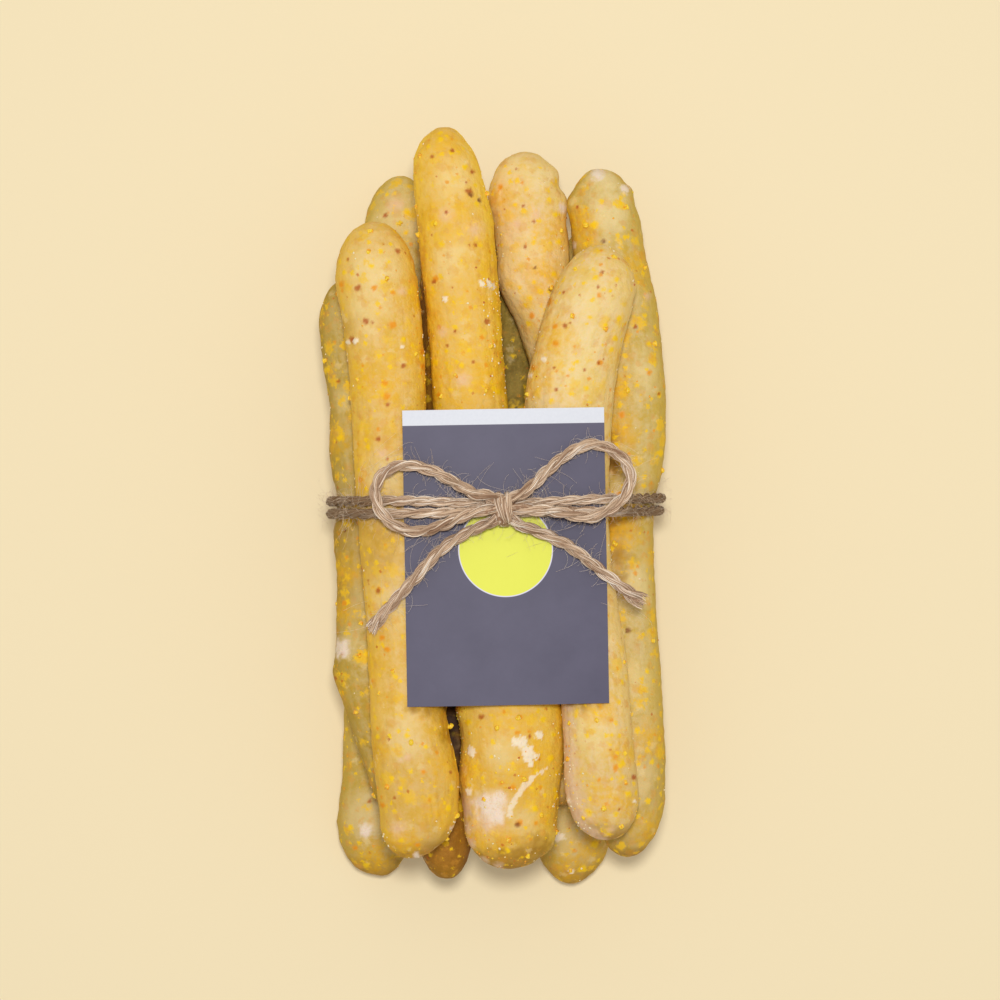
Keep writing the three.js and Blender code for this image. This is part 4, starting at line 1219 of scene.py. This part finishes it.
def nudge_outline(node, mesh):
    """Pushes parts of a breadstick sideways, so its outline gets its flats and shoulders."""
    places = corners(mesh)
    flat = places[:, :2] / MM
    for x, y, reach, push_x, push_y in NUDGES.get(node, []):
        share = np.exp(-((np.linalg.norm(flat - (x, y), axis=1) / reach) ** 2))
        places[:, 0] += share * push_x * MM
        places[:, 1] += share * push_y * MM
    set_corners(mesh, places)


SLICES = 41          # slices of a breadstick from end to end, to find its middle line
LINE_WINDOW = 7      # slices over which the middle line is smoothed


def straighten(mesh):
    """Writes each corner's place beside the middle line of its breadstick, as if it were straight."""
    places = corners(mesh)
    edges = np.linspace(places[:, 1].min(), places[:, 1].max(), SLICES + 1)
    bins = np.clip(np.digitize(places[:, 1], edges) - 1, 0, SLICES - 1)
    middles = (edges[:-1] + edges[1:]) / 2
    straight = places.copy()
    for axis in (0, 2):
        low = np.array([places[bins == b, axis].min() for b in range(SLICES)])
        high = np.array([places[bins == b, axis].max() for b in range(SLICES)])
        padded = np.pad((low + high) / 2, LINE_WINDOW // 2, "edge")
        line = np.convolve(padded, np.ones(LINE_WINDOW) / LINE_WINDOW, "valid")
        straight[:, axis] -= np.interp(places[:, 1], middles, line)
    write_vectors(mesh, "dough", straight)


def smoothed_solid(node, voxel, rounds):
    """A breadstick's solid as a fine even skin without its flat faces."""
    holder = linked(node + "_source", merged_copy(node))
    skin = holder.modifiers.new("skin", "REMESH")
    skin.mode = "VOXEL"
    skin.voxel_size = voxel
    even = holder.modifiers.new("even", "SMOOTH")
    even.factor = 0.5
    even.iterations = rounds
    mesh = plain_mesh(holder)
    mesh.materials.clear()
    return mesh


LUMPS = (110, 60, 110)         # waves of each kind of relief in a metre: across, along and up
STREAKS_OF_DOUGH = (520, 45, 520)
DIMPLES = 330.0
GRAIN = 900.0


def crust_tree():
    """Pushes the skin out and in along its normals: lumps, streaks of the rolled dough, fine grain."""
    tree, w, given, result = new_tree(
        "crust relief",
        "GeometryNodeTree",
        {
            "Skin": ("Geometry", None),
            "Swell": ("Float", 0.1 * MM),
            "Lump Height": ("Float", 0.5 * MM),
            "Streak Height": ("Float", 0.16 * MM),
            "Dimple Height": ("Float", 0.6 * MM),
            "Grain Height": ("Float", 0.12 * MM),
            "Seed": ("Int", 1),
            "Material": ("Material", None),
        },
        {"Crust": "Geometry"},
    )
    dough = w.named("dough", "FLOAT_VECTOR")
    seed = w.times(given["Seed"], 13.7)
    reliefs = [
        ("Lump Height", w.noise(w.vector("MULTIPLY", dough, LUMPS), seed, detail=1.0)),
        ("Streak Height", w.noise(w.vector("MULTIPLY", dough, STREAKS_OF_DOUGH), seed, detail=2.0)),
        ("Dimple Height", w.noise(w.scaled(dough, DIMPLES), seed, detail=1.0)),
        ("Grain Height", w.noise(w.scaled(dough, GRAIN), seed, detail=2.0, roughness=0.6)),
    ]
    heights = [w.times(w.math("SUBTRACT", noise, 0.5), given[height]) for height, noise in reliefs]
    height = w.add(*heights, w.named("rise"), given["Swell"])
    normal = w.node("GeometryNodeInputNormal").outputs[0]
    moved = w.moved(given["Skin"], w.scaled(normal, height))
    smooth = w.node("GeometryNodeSetShadeSmooth", {0: moved}).outputs[0]
    w.feed(result[0], w.coated(smooth, given["Material"]))
    return tree


# ------------------------------------------------------------------ finish of the crust


def speckle_group():
    """Soft round specks scattered in space: 1 on a speck, 0 between them."""
    tree, w, given, result = new_tree(
        "specks",
        "ShaderNodeTree",
        {
            "Place": ("Vector", None),
            "Spacing": ("Float", 3.0 * MM),
            "Radius": ("Float", 0.5 * MM),
            "Share": ("Float", 0.5),
            "Seed": ("Float", 0.0),
        },
        {"Mask": "Float"},
    )
    waves = w.scaled(given["Place"], w.math("DIVIDE", 1.1, given["Radius"]))
    bend = w.jitter(waves, w.times(given["Radius"], 2.6))
    moved = w.scaled(w.vector("ADD", given["Place"], bend), w.math("DIVIDE", 1.0, given["Spacing"]))
    place = w.vector("ADD", moved, w.scaled((7.3, 3.1, 5.7), given["Seed"]))
    cells = w.node("ShaderNodeTexVoronoi", {"Vector": place, "Scale": 1.0}, feature="F1")
    chance = w.node("ShaderNodeSeparateColor", {0: cells.outputs["Color"]}).outputs
    size = w.math("DIVIDE", given["Radius"], given["Spacing"])
    own = w.times(size, w.between(chance[1], 0.5, 1.5))
    there = w.math("LESS_THAN", chance[0], given["Share"])
    spot = w.math("DIVIDE", cells.outputs["Distance"], own)
    w.feed(result[0], w.math("MULTIPLY", w.step(spot, 1.35, 0.45), there))
    return tree


def streak_group():
    """The dough's texture, all from 0 to 1: streaks along it, blotches, mottle and fine grain."""
    tree, w, given, result = new_tree(
        "dough streaks",
        "ShaderNodeTree",
        {"Place": ("Vector", None), "Seed": ("Float", 0.0)},
        {"Streaks": "Float", "Blotches": "Float", "Mottle": "Float", "Grain": "Float"},
    )
    place, seed = given["Place"], given["Seed"]
    w.feed(result["Streaks"], w.noise(w.vector("MULTIPLY", place, (600, 60, 600)), seed, detail=3.0))
    w.feed(result["Blotches"], w.noise(w.scaled(place, 110.0), seed, detail=3.0, roughness=0.6))
    w.feed(result["Mottle"], w.noise(w.scaled(place, 620.0), seed, detail=2.0, roughness=0.7))
    w.feed(result["Grain"], w.noise(w.scaled(place, 2200.0), seed, detail=3.0, roughness=0.65))
    return tree


# Colours of the bakes of the crust: pale dough, baked dough, and the dough towards the sides.
# The side colours are partly a deeper bake and partly painted light that lifts the sides against their
# shading.
BAKES = {
    "golden": (colour(228, 186, 100), colour(230, 179, 54), colour(252, 206, 44)),
    "tan": (colour(226, 187, 114), colour(219, 173, 66), colour(233, 186, 60)),
    "pale": (colour(230, 199, 145), colour(225, 187, 92), colour(232, 198, 120)),
    "dull": (colour(211, 186, 126), colour(198, 166, 72), colour(201, 168, 64)),
    "olive": (colour(197, 172, 108), colour(183, 150, 54), colour(174, 140, 36)),
    # darker copies of the crust: painted shade for breadsticks that lie deep in the bundle
    "shaded": (colour(158, 132, 52), colour(124, 102, 30), colour(88, 71, 18)),
    "shaded_brown": (colour(174, 120, 36), colour(144, 94, 16), colour(112, 68, 8)),
}
HIDDEN_BAKES = ("shaded", "shaded_brown")
BLOTCHY_BAKES = ("olive", "dull", *HIDDEN_BAKES)
TIP_FROM, TIP_TO = 58 * MM, 76 * MM          # the painted shade of hidden breadsticks gives way to olive towards their upper tips
FOOT_TO, FOOT_FROM = -58 * MM, -44 * MM      # golden ones have paler sides below
GOLDEN_FOOT = colour(236, 199, 80)
YELLOW_CORN, ORANGE_CORN, RUST_CORN = colour(242, 196, 6), colour(230, 146, 6), colour(190, 98, 26)

# What is scattered in the dough, from the lowest: the space between spots and their radius in
# millimetres, the share of them that is there, a seed, and the colour.
SCATTERED = {
    "yolk blotch": (4.6, 1.5, 0.6, 1.3, colour(236, 188, 30)),
    "pale blotch": (3.8, 1.0, 0.4, 9.1, colour(240, 216, 160)),
    "toasted blotch": (3.4, 1.1, 0.6, 7.7, colour(216, 152, 50)),
    "tan blotch": (3.4, 0.9, 0.2, 5.9, colour(210, 152, 84)),
    "yellow speck": (2.7, 0.62, 0.6, 2.1, YELLOW_CORN),
    "orange speck": (3.0, 0.46, 0.36, 3.4, ORANGE_CORN),
    "rust speck": (3.2, 0.34, 0.4, 4.7, RUST_CORN),
}

# Layers of marks, from the lowest: how strongly each shows, and its colour.
LAYERS = {
    "pale": (0.55, colour(236, 212, 150)),
    # painted shade and shadow: lower ends, and where the card and the twine shade the crust
    "toast": (0.82, colour(154, 108, 8)),
    "amber": (0.75, colour(230, 174, 20)),
    "yellow": (0.95, YELLOW_CORN),
    "orange": (0.9, ORANGE_CORN),
    "pink": (0.6, colour(232, 192, 156)),
    "brown": (0.85, colour(174, 84, 26)),
    "flour": (0.92, colour(236, 216, 196)),
    "white": (0.92, colour(240, 222, 192)),
    "dark": (0.85, colour(128, 74, 36)),
    # painted shade, nearly black, in deep gaps
    "gap_shade": (1.0, colour(60, 34, 10)),
}
BLOOM_DARK, BLOOM_PALE, BLOOM_STRENGTH = colour(206, 164, 126), colour(238, 208, 178), 0.8

# How much of each texture goes into the depth of the bake, and into the fine relief.
DEPTH_OF_BAKE = {"Blotches": 0.6, "Streaks": 0.3, "Mottle": 0.6}
FINE_RELIEF = {"Grain": 0.35, "Streaks": 0.8, "Mottle": 1.1}
DEEP_FROM, DEEP_TO = 0.58, 0.92
SIDE_FROM, SIDE_TO, SIDE_STRENGTH, SIDE_MOTTLE = 1.15, 0.4, 0.9, 0.4      # of how far the crust faces up
AMBER_MOTTLE, FLOUR_GRAIN = (0.1, 0.7), (0.15, 0.5)      # amber and flour lie where the texture is high


def mixed(w, texture, shares):
    """A sum of textures."""
    return w.add(*(w.times(texture[name], share) for name, share in shares.items()))


def marked(w, shown, name, *patches):
    """The crust with one layer of marks on it."""
    strength, tint = LAYERS[name]
    return w.blend(w.times(w.layer(name), *patches, strength), shown, tint)


def bake_colours(w, bake, dough):
    """The three colours of a bake, where they change along the breadstick."""
    light, deep, side = BAKES[bake]
    along = w.part(dough, 1)
    if bake in HIDDEN_BAKES:
        tip = w.step(along, TIP_FROM, TIP_TO)
        light, deep, side = (w.blend(tip, own, other) for own, other in zip(BAKES[bake], BAKES["olive"]))
    if bake == "golden":
        side = w.blend(w.step(along, FOOT_TO, FOOT_FROM), GOLDEN_FOOT, side)
    return light, deep, side


def baked_dough(w, bake, dough, texture):
    """The bare crust, and how far each place has turned to the side of its breadstick."""
    light, deep, side = bake_colours(w, bake, dough)
    ring = w.vector("LENGTH", w.vector("MULTIPLY", dough, (1, 0, 1)))
    up = w.math("DIVIDE", w.part(dough, 2), ring)
    level = w.math("ADD", up, w.times(texture["Mottle"], SIDE_MOTTLE))
    to_side = w.times(w.step(level, SIDE_FROM, SIDE_TO), SIDE_STRENGTH)
    shown = w.blend(w.step(mixed(w, texture, DEPTH_OF_BAKE), DEEP_FROM, DEEP_TO), light, deep)
    # the sides take their side colour: partly a deeper bake, partly painted light against their shading
    shown = w.blend(to_side, marked(w, shown, "pale"), side)
    # painted shade and shadow on the crust
    shown = marked(w, shown, "toast")
    return marked(w, shown, "amber", w.step(texture["Mottle"], *AMBER_MOTTLE)), to_side


def with_specks(w, shown, bake, dough, seed, to_side, specks):
    """The crust with the blotches and specks of corn that are scattered in it."""
    strengths = {
        "yolk blotch": 0.85 if bake in BLOTCHY_BAKES else 0.6,
        "pale blotch": 0.3,
        "toasted blotch": w.between(to_side, 0.34, 0.6),
        "tan blotch": 0.3,
        "yellow speck": 0.85,
        "orange speck": 0.75,
        "rust speck": 0.75,
    }
    for name, (spacing, radius, share, shift, tint) in SCATTERED.items():
        inputs = {"Place": dough, "Spacing": spacing * MM, "Radius": radius * MM, "Share": share}
        spots = w.node("ShaderNodeGroup", {**inputs, "Seed": seed + shift}, node_tree=specks).outputs[0]
        shown = w.blend(w.times(spots, strengths[name]), shown, tint)
    return shown


def with_marks(w, shown, texture):
    """The crust with its own marks, and painted shade over them."""
    for name in ("yellow", "orange", "pink", "brown"):
        shown = marked(w, shown, name)
    bloom = w.blend(texture["Mottle"], BLOOM_DARK, BLOOM_PALE)
    shown = w.blend(w.times(w.layer("bloom"), BLOOM_STRENGTH), shown, bloom)
    shown = marked(w, shown, "flour", w.step(texture["Grain"], *FLOUR_GRAIN))
    # the last layer is painted shade in deep gaps
    for name in ("white", "dark", "gap_shade"):
        shown = marked(w, shown, name)
    return shown


def crust_material(name, bake, seed, groups):
    """The crust of one breadstick: baked dough, specks of corn, its own marks, and painted shade."""
    material, w = new_material(name)
    specks, streaks = groups
    dough = w.layer("dough", "Vector")
    texture = w.node("ShaderNodeGroup", {"Place": dough, "Seed": seed * 1.7}, node_tree=streaks).outputs
    shown, to_side = baked_dough(w, bake, dough, texture)
    shown = with_specks(w, shown, bake, dough, seed, to_side, specks)
    shown = with_marks(w, shown, texture)
    height = mixed(w, texture, FINE_RELIEF)
    bump = w.node("ShaderNodeBump", {"Height": height, "Distance": 0.28 * MM, "Strength": 0.9})
    rough = w.between(texture["Grain"], 0.56, 0.74)
    finish_of_crust = {
        "Base Color": shown, "Roughness": rough, "Normal": bump.outputs[0], "Specular IOR Level": 0.25,
        "Subsurface Weight": 0.12, "Subsurface Radius": (1.0, 0.5, 0.2), "Subsurface Scale": 1.5 * MM,
    }
    w.surface(w.node("ShaderNodeBsdfPrincipled", finish_of_crust))
    return material


# How each breadstick is baked, and whether its skin is seen closely. The shaded bakes are painted shade on
# breadsticks that lie deep in the bundle.
STICKS = {
    "stick_bottom_left": ("dull", False),
    "stick_bottom_middle": ("shaded", False),
    "stick_bottom_right": ("dull", False),
    "stick_middle_inner_left": ("shaded_brown", False),
    "stick_middle_inner_right": ("pale", True),
    "stick_middle_left": ("olive", True),
    "stick_middle_right": ("dull", True),
    "stick_front_middle": ("golden", True),
    "stick_front_left": ("tan", True),
    "stick_front_right": ("pale", True),
}

# The skins: the size of their faces, and rounds of smoothing.
CLOSE_SKIN = (0.43 * MM, 50)
PLAIN_SKIN = (0.6 * MM, 26)


def make_sticks():
    relief = crust_tree()
    groups = (speckle_group(), streak_group())
    pieces = []
    for number, (node, (bake, close)) in enumerate(STICKS.items()):
        skin = CLOSE_SKIN if close else PLAIN_SKIN
        mesh = smoothed_solid(node, *skin)
        nudge_outline(node, mesh)
        straighten(mesh)
        mark_crust(node, mesh)
        write_grittiness(node, mesh)
        material = crust_material(node + "_crust", bake, 3.1 * number + 1, groups)
        piece = grown(node + "_crusted", mesh, relief, seed=number + 1, material=material)
        keep_inside(piece.data, CAD_BOX)
        slot = "crust_golden" if node.startswith("stick_front") else "crust_pale"
        finish(piece, slot, node)
        pieces.append(piece)
    return pieces


# ------------------------------------------------------------------ grains of corn

GRAIN_EDGE = 2.5 * MM              # edges of the fused grains are all shorter than this
GRAIN_SINK = 0.6 * MM              # how deep a coarse grain sits under the tip of its solid
GRIT_WAVES, GRIT_BREAK = 3000.0, 0.25 * MM         # how finely and how far grits are broken
COARSE_WAVES, COARSE_BREAK = 1200.0, 0.14 * MM     # the same for coarse grains

GRITS_PER_SQUARE_METRE = 60000.0
LEVEL_GRIT = 0.07                  # the share of them that lies on any crust
SIDE_GRIT, FRONT_SIDE_GRIT = 0.4, 0.9    # more on the sides, and most on those of the front breadsticks
SIDE_LEVELS = (-0.6, -0.1, 0.2, 0.5)     # where the sides begin and end, as how far the crust faces up

# Stretches of crust with many fine grits: the ends of a line, its reach in millimetres, and how many
# times more grits.
GRITTY = {
    "stick_front_middle": [
        ((-1, 60), (2, 28), 3, 5), ((-21, 60), (-18, 28), 2, 3), ((-8.6, -48), (-9.4, -66), 1.6, 5),
        ((-8, -84), (8, -94), 4, 4), ((15.5, -55), (16, -84), 1.6, 4), ((3, -72), (8, -64), 7, 2),
    ],
    "stick_front_left": [((-19, 62), (-16.4, 30), 2.6, 5), ((-34, -86), (-12, -82), 3, 3)],
    "stick_front_right": [((16, 40), (8, 28), 2.6, 3), ((16.6, -50), (24, -84), 2.2, 3)],
    "stick_middle_inner_right": [((1.6, 60), (1, 74), 2, 3), ((17.6, 82), (18.6, 66), 2, 2)],
}


def write_grittiness(node, mesh):
    """Writes how thickly fine grits lie on each spot of the crust."""
    flat = corners(mesh)[:, :2] / MM
    level = corner_normals(mesh)[:, 2]
    side = smooth_step(level, *SIDE_LEVELS[:2]) * (1 - smooth_step(level, *SIDE_LEVELS[2:]))
    more_grit = FRONT_SIDE_GRIT if node.startswith("stick_front") else SIDE_GRIT
    share = LEVEL_GRIT + more_grit * side
    for first, second, reach, more in GRITTY.get(node, []):
        away, _ = distance_to_line(flat, first, second)
        share = np.maximum(share, more * np.exp(-((away / reach) ** 2)))
    write_numbers(mesh, "gritty", share)


def broken_grains(w, placed, tint, waves, reach, material):
    """Placed grains made real, each with its tint, and broken instead of round."""
    tinted = w.labelled(placed, "tint", tint, "INSTANCE")
    broken = w.moved(w.realized(tinted), w.jitter(w.scaled(w.place(), waves), reach))
    smooth = w.node("GeometryNodeSetShadeSmooth", {0: broken}).outputs[0]
    return w.coated(smooth, material)


def grit_tree():
    """Fine grits strewn over every crust, each a small rough grain with a tint of its own."""
    tree, w, given, result = new_tree(
        "strewn grits",
        "GeometryNodeTree",
        {
            "Anchor": ("Geometry", None),
            "Crusts": ("Collection", None),
            "Grits Per Square Metre": ("Float", GRITS_PER_SQUARE_METRE),
            "Smallest": ("Float", 0.16 * MM),
            "Largest": ("Float", 0.34 * MM),
            "Seed": ("Int", 3),
            "Material": ("Material", None),
        },
        {"Grits": "Geometry"},
    )
    crusts = w.node("GeometryNodeCollectionInfo", {"Collection": given["Crusts"]}).outputs[0]
    density = w.times(w.named("gritty"), given["Grits Per Square Metre"])
    inputs = {"Mesh": w.realized(crusts), "Density": density, "Seed": given["Seed"]}
    strewn = w.node("GeometryNodeDistributePointsOnFaces", inputs)
    grain = w.node("GeometryNodeMeshIcoSphere", {"Radius": 1.0, "Subdivisions": 1}).outputs[0]
    index = w.node("GeometryNodeInputIndex").outputs[0]

    def random(low, high, shift):
        return w.random(low, high, index, w.math("ADD", given["Seed"], shift))

    spread = w.math("SUBTRACT", given["Largest"], given["Smallest"])
    size = w.math("ADD", given["Smallest"], w.times(spread, w.math("POWER", random(0.0, 1.0, 5), 2.0)))
    long_side = w.times(size, random(1.0, 1.6, 6))
    scale = w.node("ShaderNodeCombineXYZ", {0: size, 1: long_side, 2: w.times(size, 0.8)}).outputs[0]
    turn = w.node("ShaderNodeCombineXYZ", {2: random(0.0, 6.28, 7)}).outputs[0]
    turn = w.node("FunctionNodeEulerToRotation", {0: turn}).outputs[0]
    spin = {0: strewn.outputs["Rotation"], 1: turn}
    spun = w.node("FunctionNodeRotateRotation", spin, rotation_space="LOCAL").outputs[0]
    placed = w.instances(strewn.outputs["Points"], grain, spun, scale)
    tint = random(0.0, 1.0, 8)
    w.feed(result[0], broken_grains(w, placed, tint, GRIT_WAVES, GRIT_BREAK, given["Material"]))
    return tree


def coarse_grain_tree():
    """Coarse grains of corn, one on each given point and turned its way."""
    tree, w, given, result = new_tree(
        "coarse grains",
        "GeometryNodeTree",
        {
            "Points": ("Geometry", None),
            "Half Length": ("Float", 0.8 * MM),
            "Seed": ("Int", 5),
            "Material": ("Material", None),
        },
        {"Grains": "Geometry"},
    )
    grain = w.node("GeometryNodeMeshIcoSphere", {"Radius": 1.0, "Subdivisions": 2}).outputs[0]
    way = w.named("way", "FLOAT_VECTOR")
    facing = w.node("FunctionNodeAlignRotationToVector", {"Vector": way}, axis="Z").outputs[0]
    index = w.node("GeometryNodeInputIndex").outputs[0]

    def random(low, high, shift):
        return w.random(low, high, index, w.math("ADD", given["Seed"], shift))

    size = w.times(given["Half Length"], random(0.7, 1.1, 1))
    width, height = w.times(size, random(0.6, 0.9, 2)), w.times(size, 0.45)
    scale = w.node("ShaderNodeCombineXYZ", {0: width, 1: size, 2: height}).outputs[0]
    placed = w.instances(given["Points"], grain, facing, scale)
    tint = random(0.46, 0.80, 3)
    w.feed(result[0], broken_grains(w, placed, tint, COARSE_WAVES, COARSE_BREAK, given["Material"]))
    return tree


def grain_tips(node):
    """Tips of the coarse grains fused to a breadstick, with the way each points."""
    shape = opened(merged_copy(node))
    tips = []
    for corner in shape.verts:
        if all(edge.calc_length() < GRAIN_EDGE for edge in corner.link_edges):
            tips.append((corner.co.copy(), corner.normal.copy()))
    shape.free()
    return tips


# Tints of the grains: pale, and from which tint on they are yellow, orange and brown.
PALE_GRAIN = colour(242, 224, 184)
GRAIN_TINTS = [
    (0.38, 0.46, colour(244, 202, 40)),
    (0.68, 0.76, colour(236, 162, 20)),
    (0.93, 0.96, colour(190, 100, 40)),
]
GRAIN_CLOUD = colour(246, 222, 160)


def grain_material():
    """Hard glassy corn with paler clouds."""
    material, w = new_material("corn grains")
    place = w.node("ShaderNodeTexCoord").outputs["Object"]
    cloud = w.noise(w.scaled(place, 1400.0), 2.0, detail=2.0)
    tint, shown = w.layer("tint"), PALE_GRAIN
    for low, high, above in GRAIN_TINTS:
        shown = w.blend(w.step(tint, low, high), shown, above)
    shown = w.blend(w.times(w.step(cloud, 0.5, 0.8), 0.25), shown, GRAIN_CLOUD)
    rough = w.between(cloud, 0.3, 0.6)
    glow = {"Subsurface Weight": 0.1, "Subsurface Scale": 0.5 * MM}
    w.surface(w.node("ShaderNodeBsdfPrincipled", {"Base Color": shown, "Roughness": rough, **glow}))
    return material


def make_fine_grits(sticks, material):
    crusts = bpy.data.collections.new("crusts")
    for piece in sticks:
        crusts.objects.link(piece)
    anchor = bpy.data.meshes.new("anchor")
    grits = grown("fine_grits", anchor, grit_tree(), crusts=crusts, seed=3, material=material)
    bpy.data.collections.remove(crusts)
    finish(grits, "crust_golden")


def make_coarse_grains(material):
    tips = [tip for node in STICKS for tip in grain_tips(node)]
    points = bpy.data.meshes.new("grain_points")
    points.from_pydata([tuple(place - GRAIN_SINK * way) for place, way in tips], [], [])
    write_vectors(points, "way", [tuple(way) for _, way in tips])
    finish(grown("coarse_grains", points, coarse_grain_tree(), seed=5, material=material), "crust_golden")


def make_grains(sticks):
    material = grain_material()
    make_fine_grits(sticks, material)
    make_coarse_grains(material)


# ------------------------------------------------------------------ room

FLOOR_HALF = 1.5
FLOOR = colour(224, 208, 172)
FLOOR_GLOW = colour(101, 93, 75)   # a little light from the floor, so its shadows stay faint
LAMP_PLACE = (0.01, 0.12, 1.08)
LAMP_SIZE = 0.14
LAMP_POWER = 7.0
STUDIO_LIGHT = (1.0, 0.99, 0.97, 1.0)
STUDIO_STRENGTH = 0.47


def make_floor():
    mesh = bpy.data.meshes.new("floor")
    low, high = -FLOOR_HALF, FLOOR_HALF
    mesh.from_pydata([(low, low, 0), (high, low, 0), (high, high, 0), (low, high, 0)], [], [(0, 1, 2, 3)])
    floor = linked("floor", mesh)
    material = bpy.data.materials.new("floor")
    material.use_nodes = True
    shader = material.node_tree.nodes["Principled BSDF"]
    shader.inputs["Base Color"].default_value = FLOOR
    shader.inputs["Roughness"].default_value = 0.9
    shader.inputs["Specular IOR Level"].default_value = 0.1
    shader.inputs["Emission Color"].default_value = FLOOR_GLOW
    shader.inputs["Emission Strength"].default_value = 1.0
    mesh.materials.append(material)


def make_light():
    """A soft disk of light above the upper end of the bundle, in a pale studio."""
    key = bpy.data.lights.new("key", "AREA")
    key.shape = "DISK"
    key.size = LAMP_SIZE
    key.energy = LAMP_POWER
    lamp = linked("key", key)
    lamp.location = LAMP_PLACE
    lamp.rotation_euler = (Vector((0, 0, 0)) - lamp.location).to_track_quat("-Z", "Y").to_euler()
    world = bpy.data.worlds.new("studio")
    world.use_nodes = True
    background = world.node_tree.nodes["Background"]
    background.inputs["Color"].default_value = STUDIO_LIGHT
    background.inputs["Strength"].default_value = STUDIO_STRENGTH
    SCENE.world = world
    SCENE.view_settings.view_transform = "Standard"


# ------------------------------------------------------------------ making

make_twine()
make_card()
make_grains(make_sticks())
make_floor()
make_light()
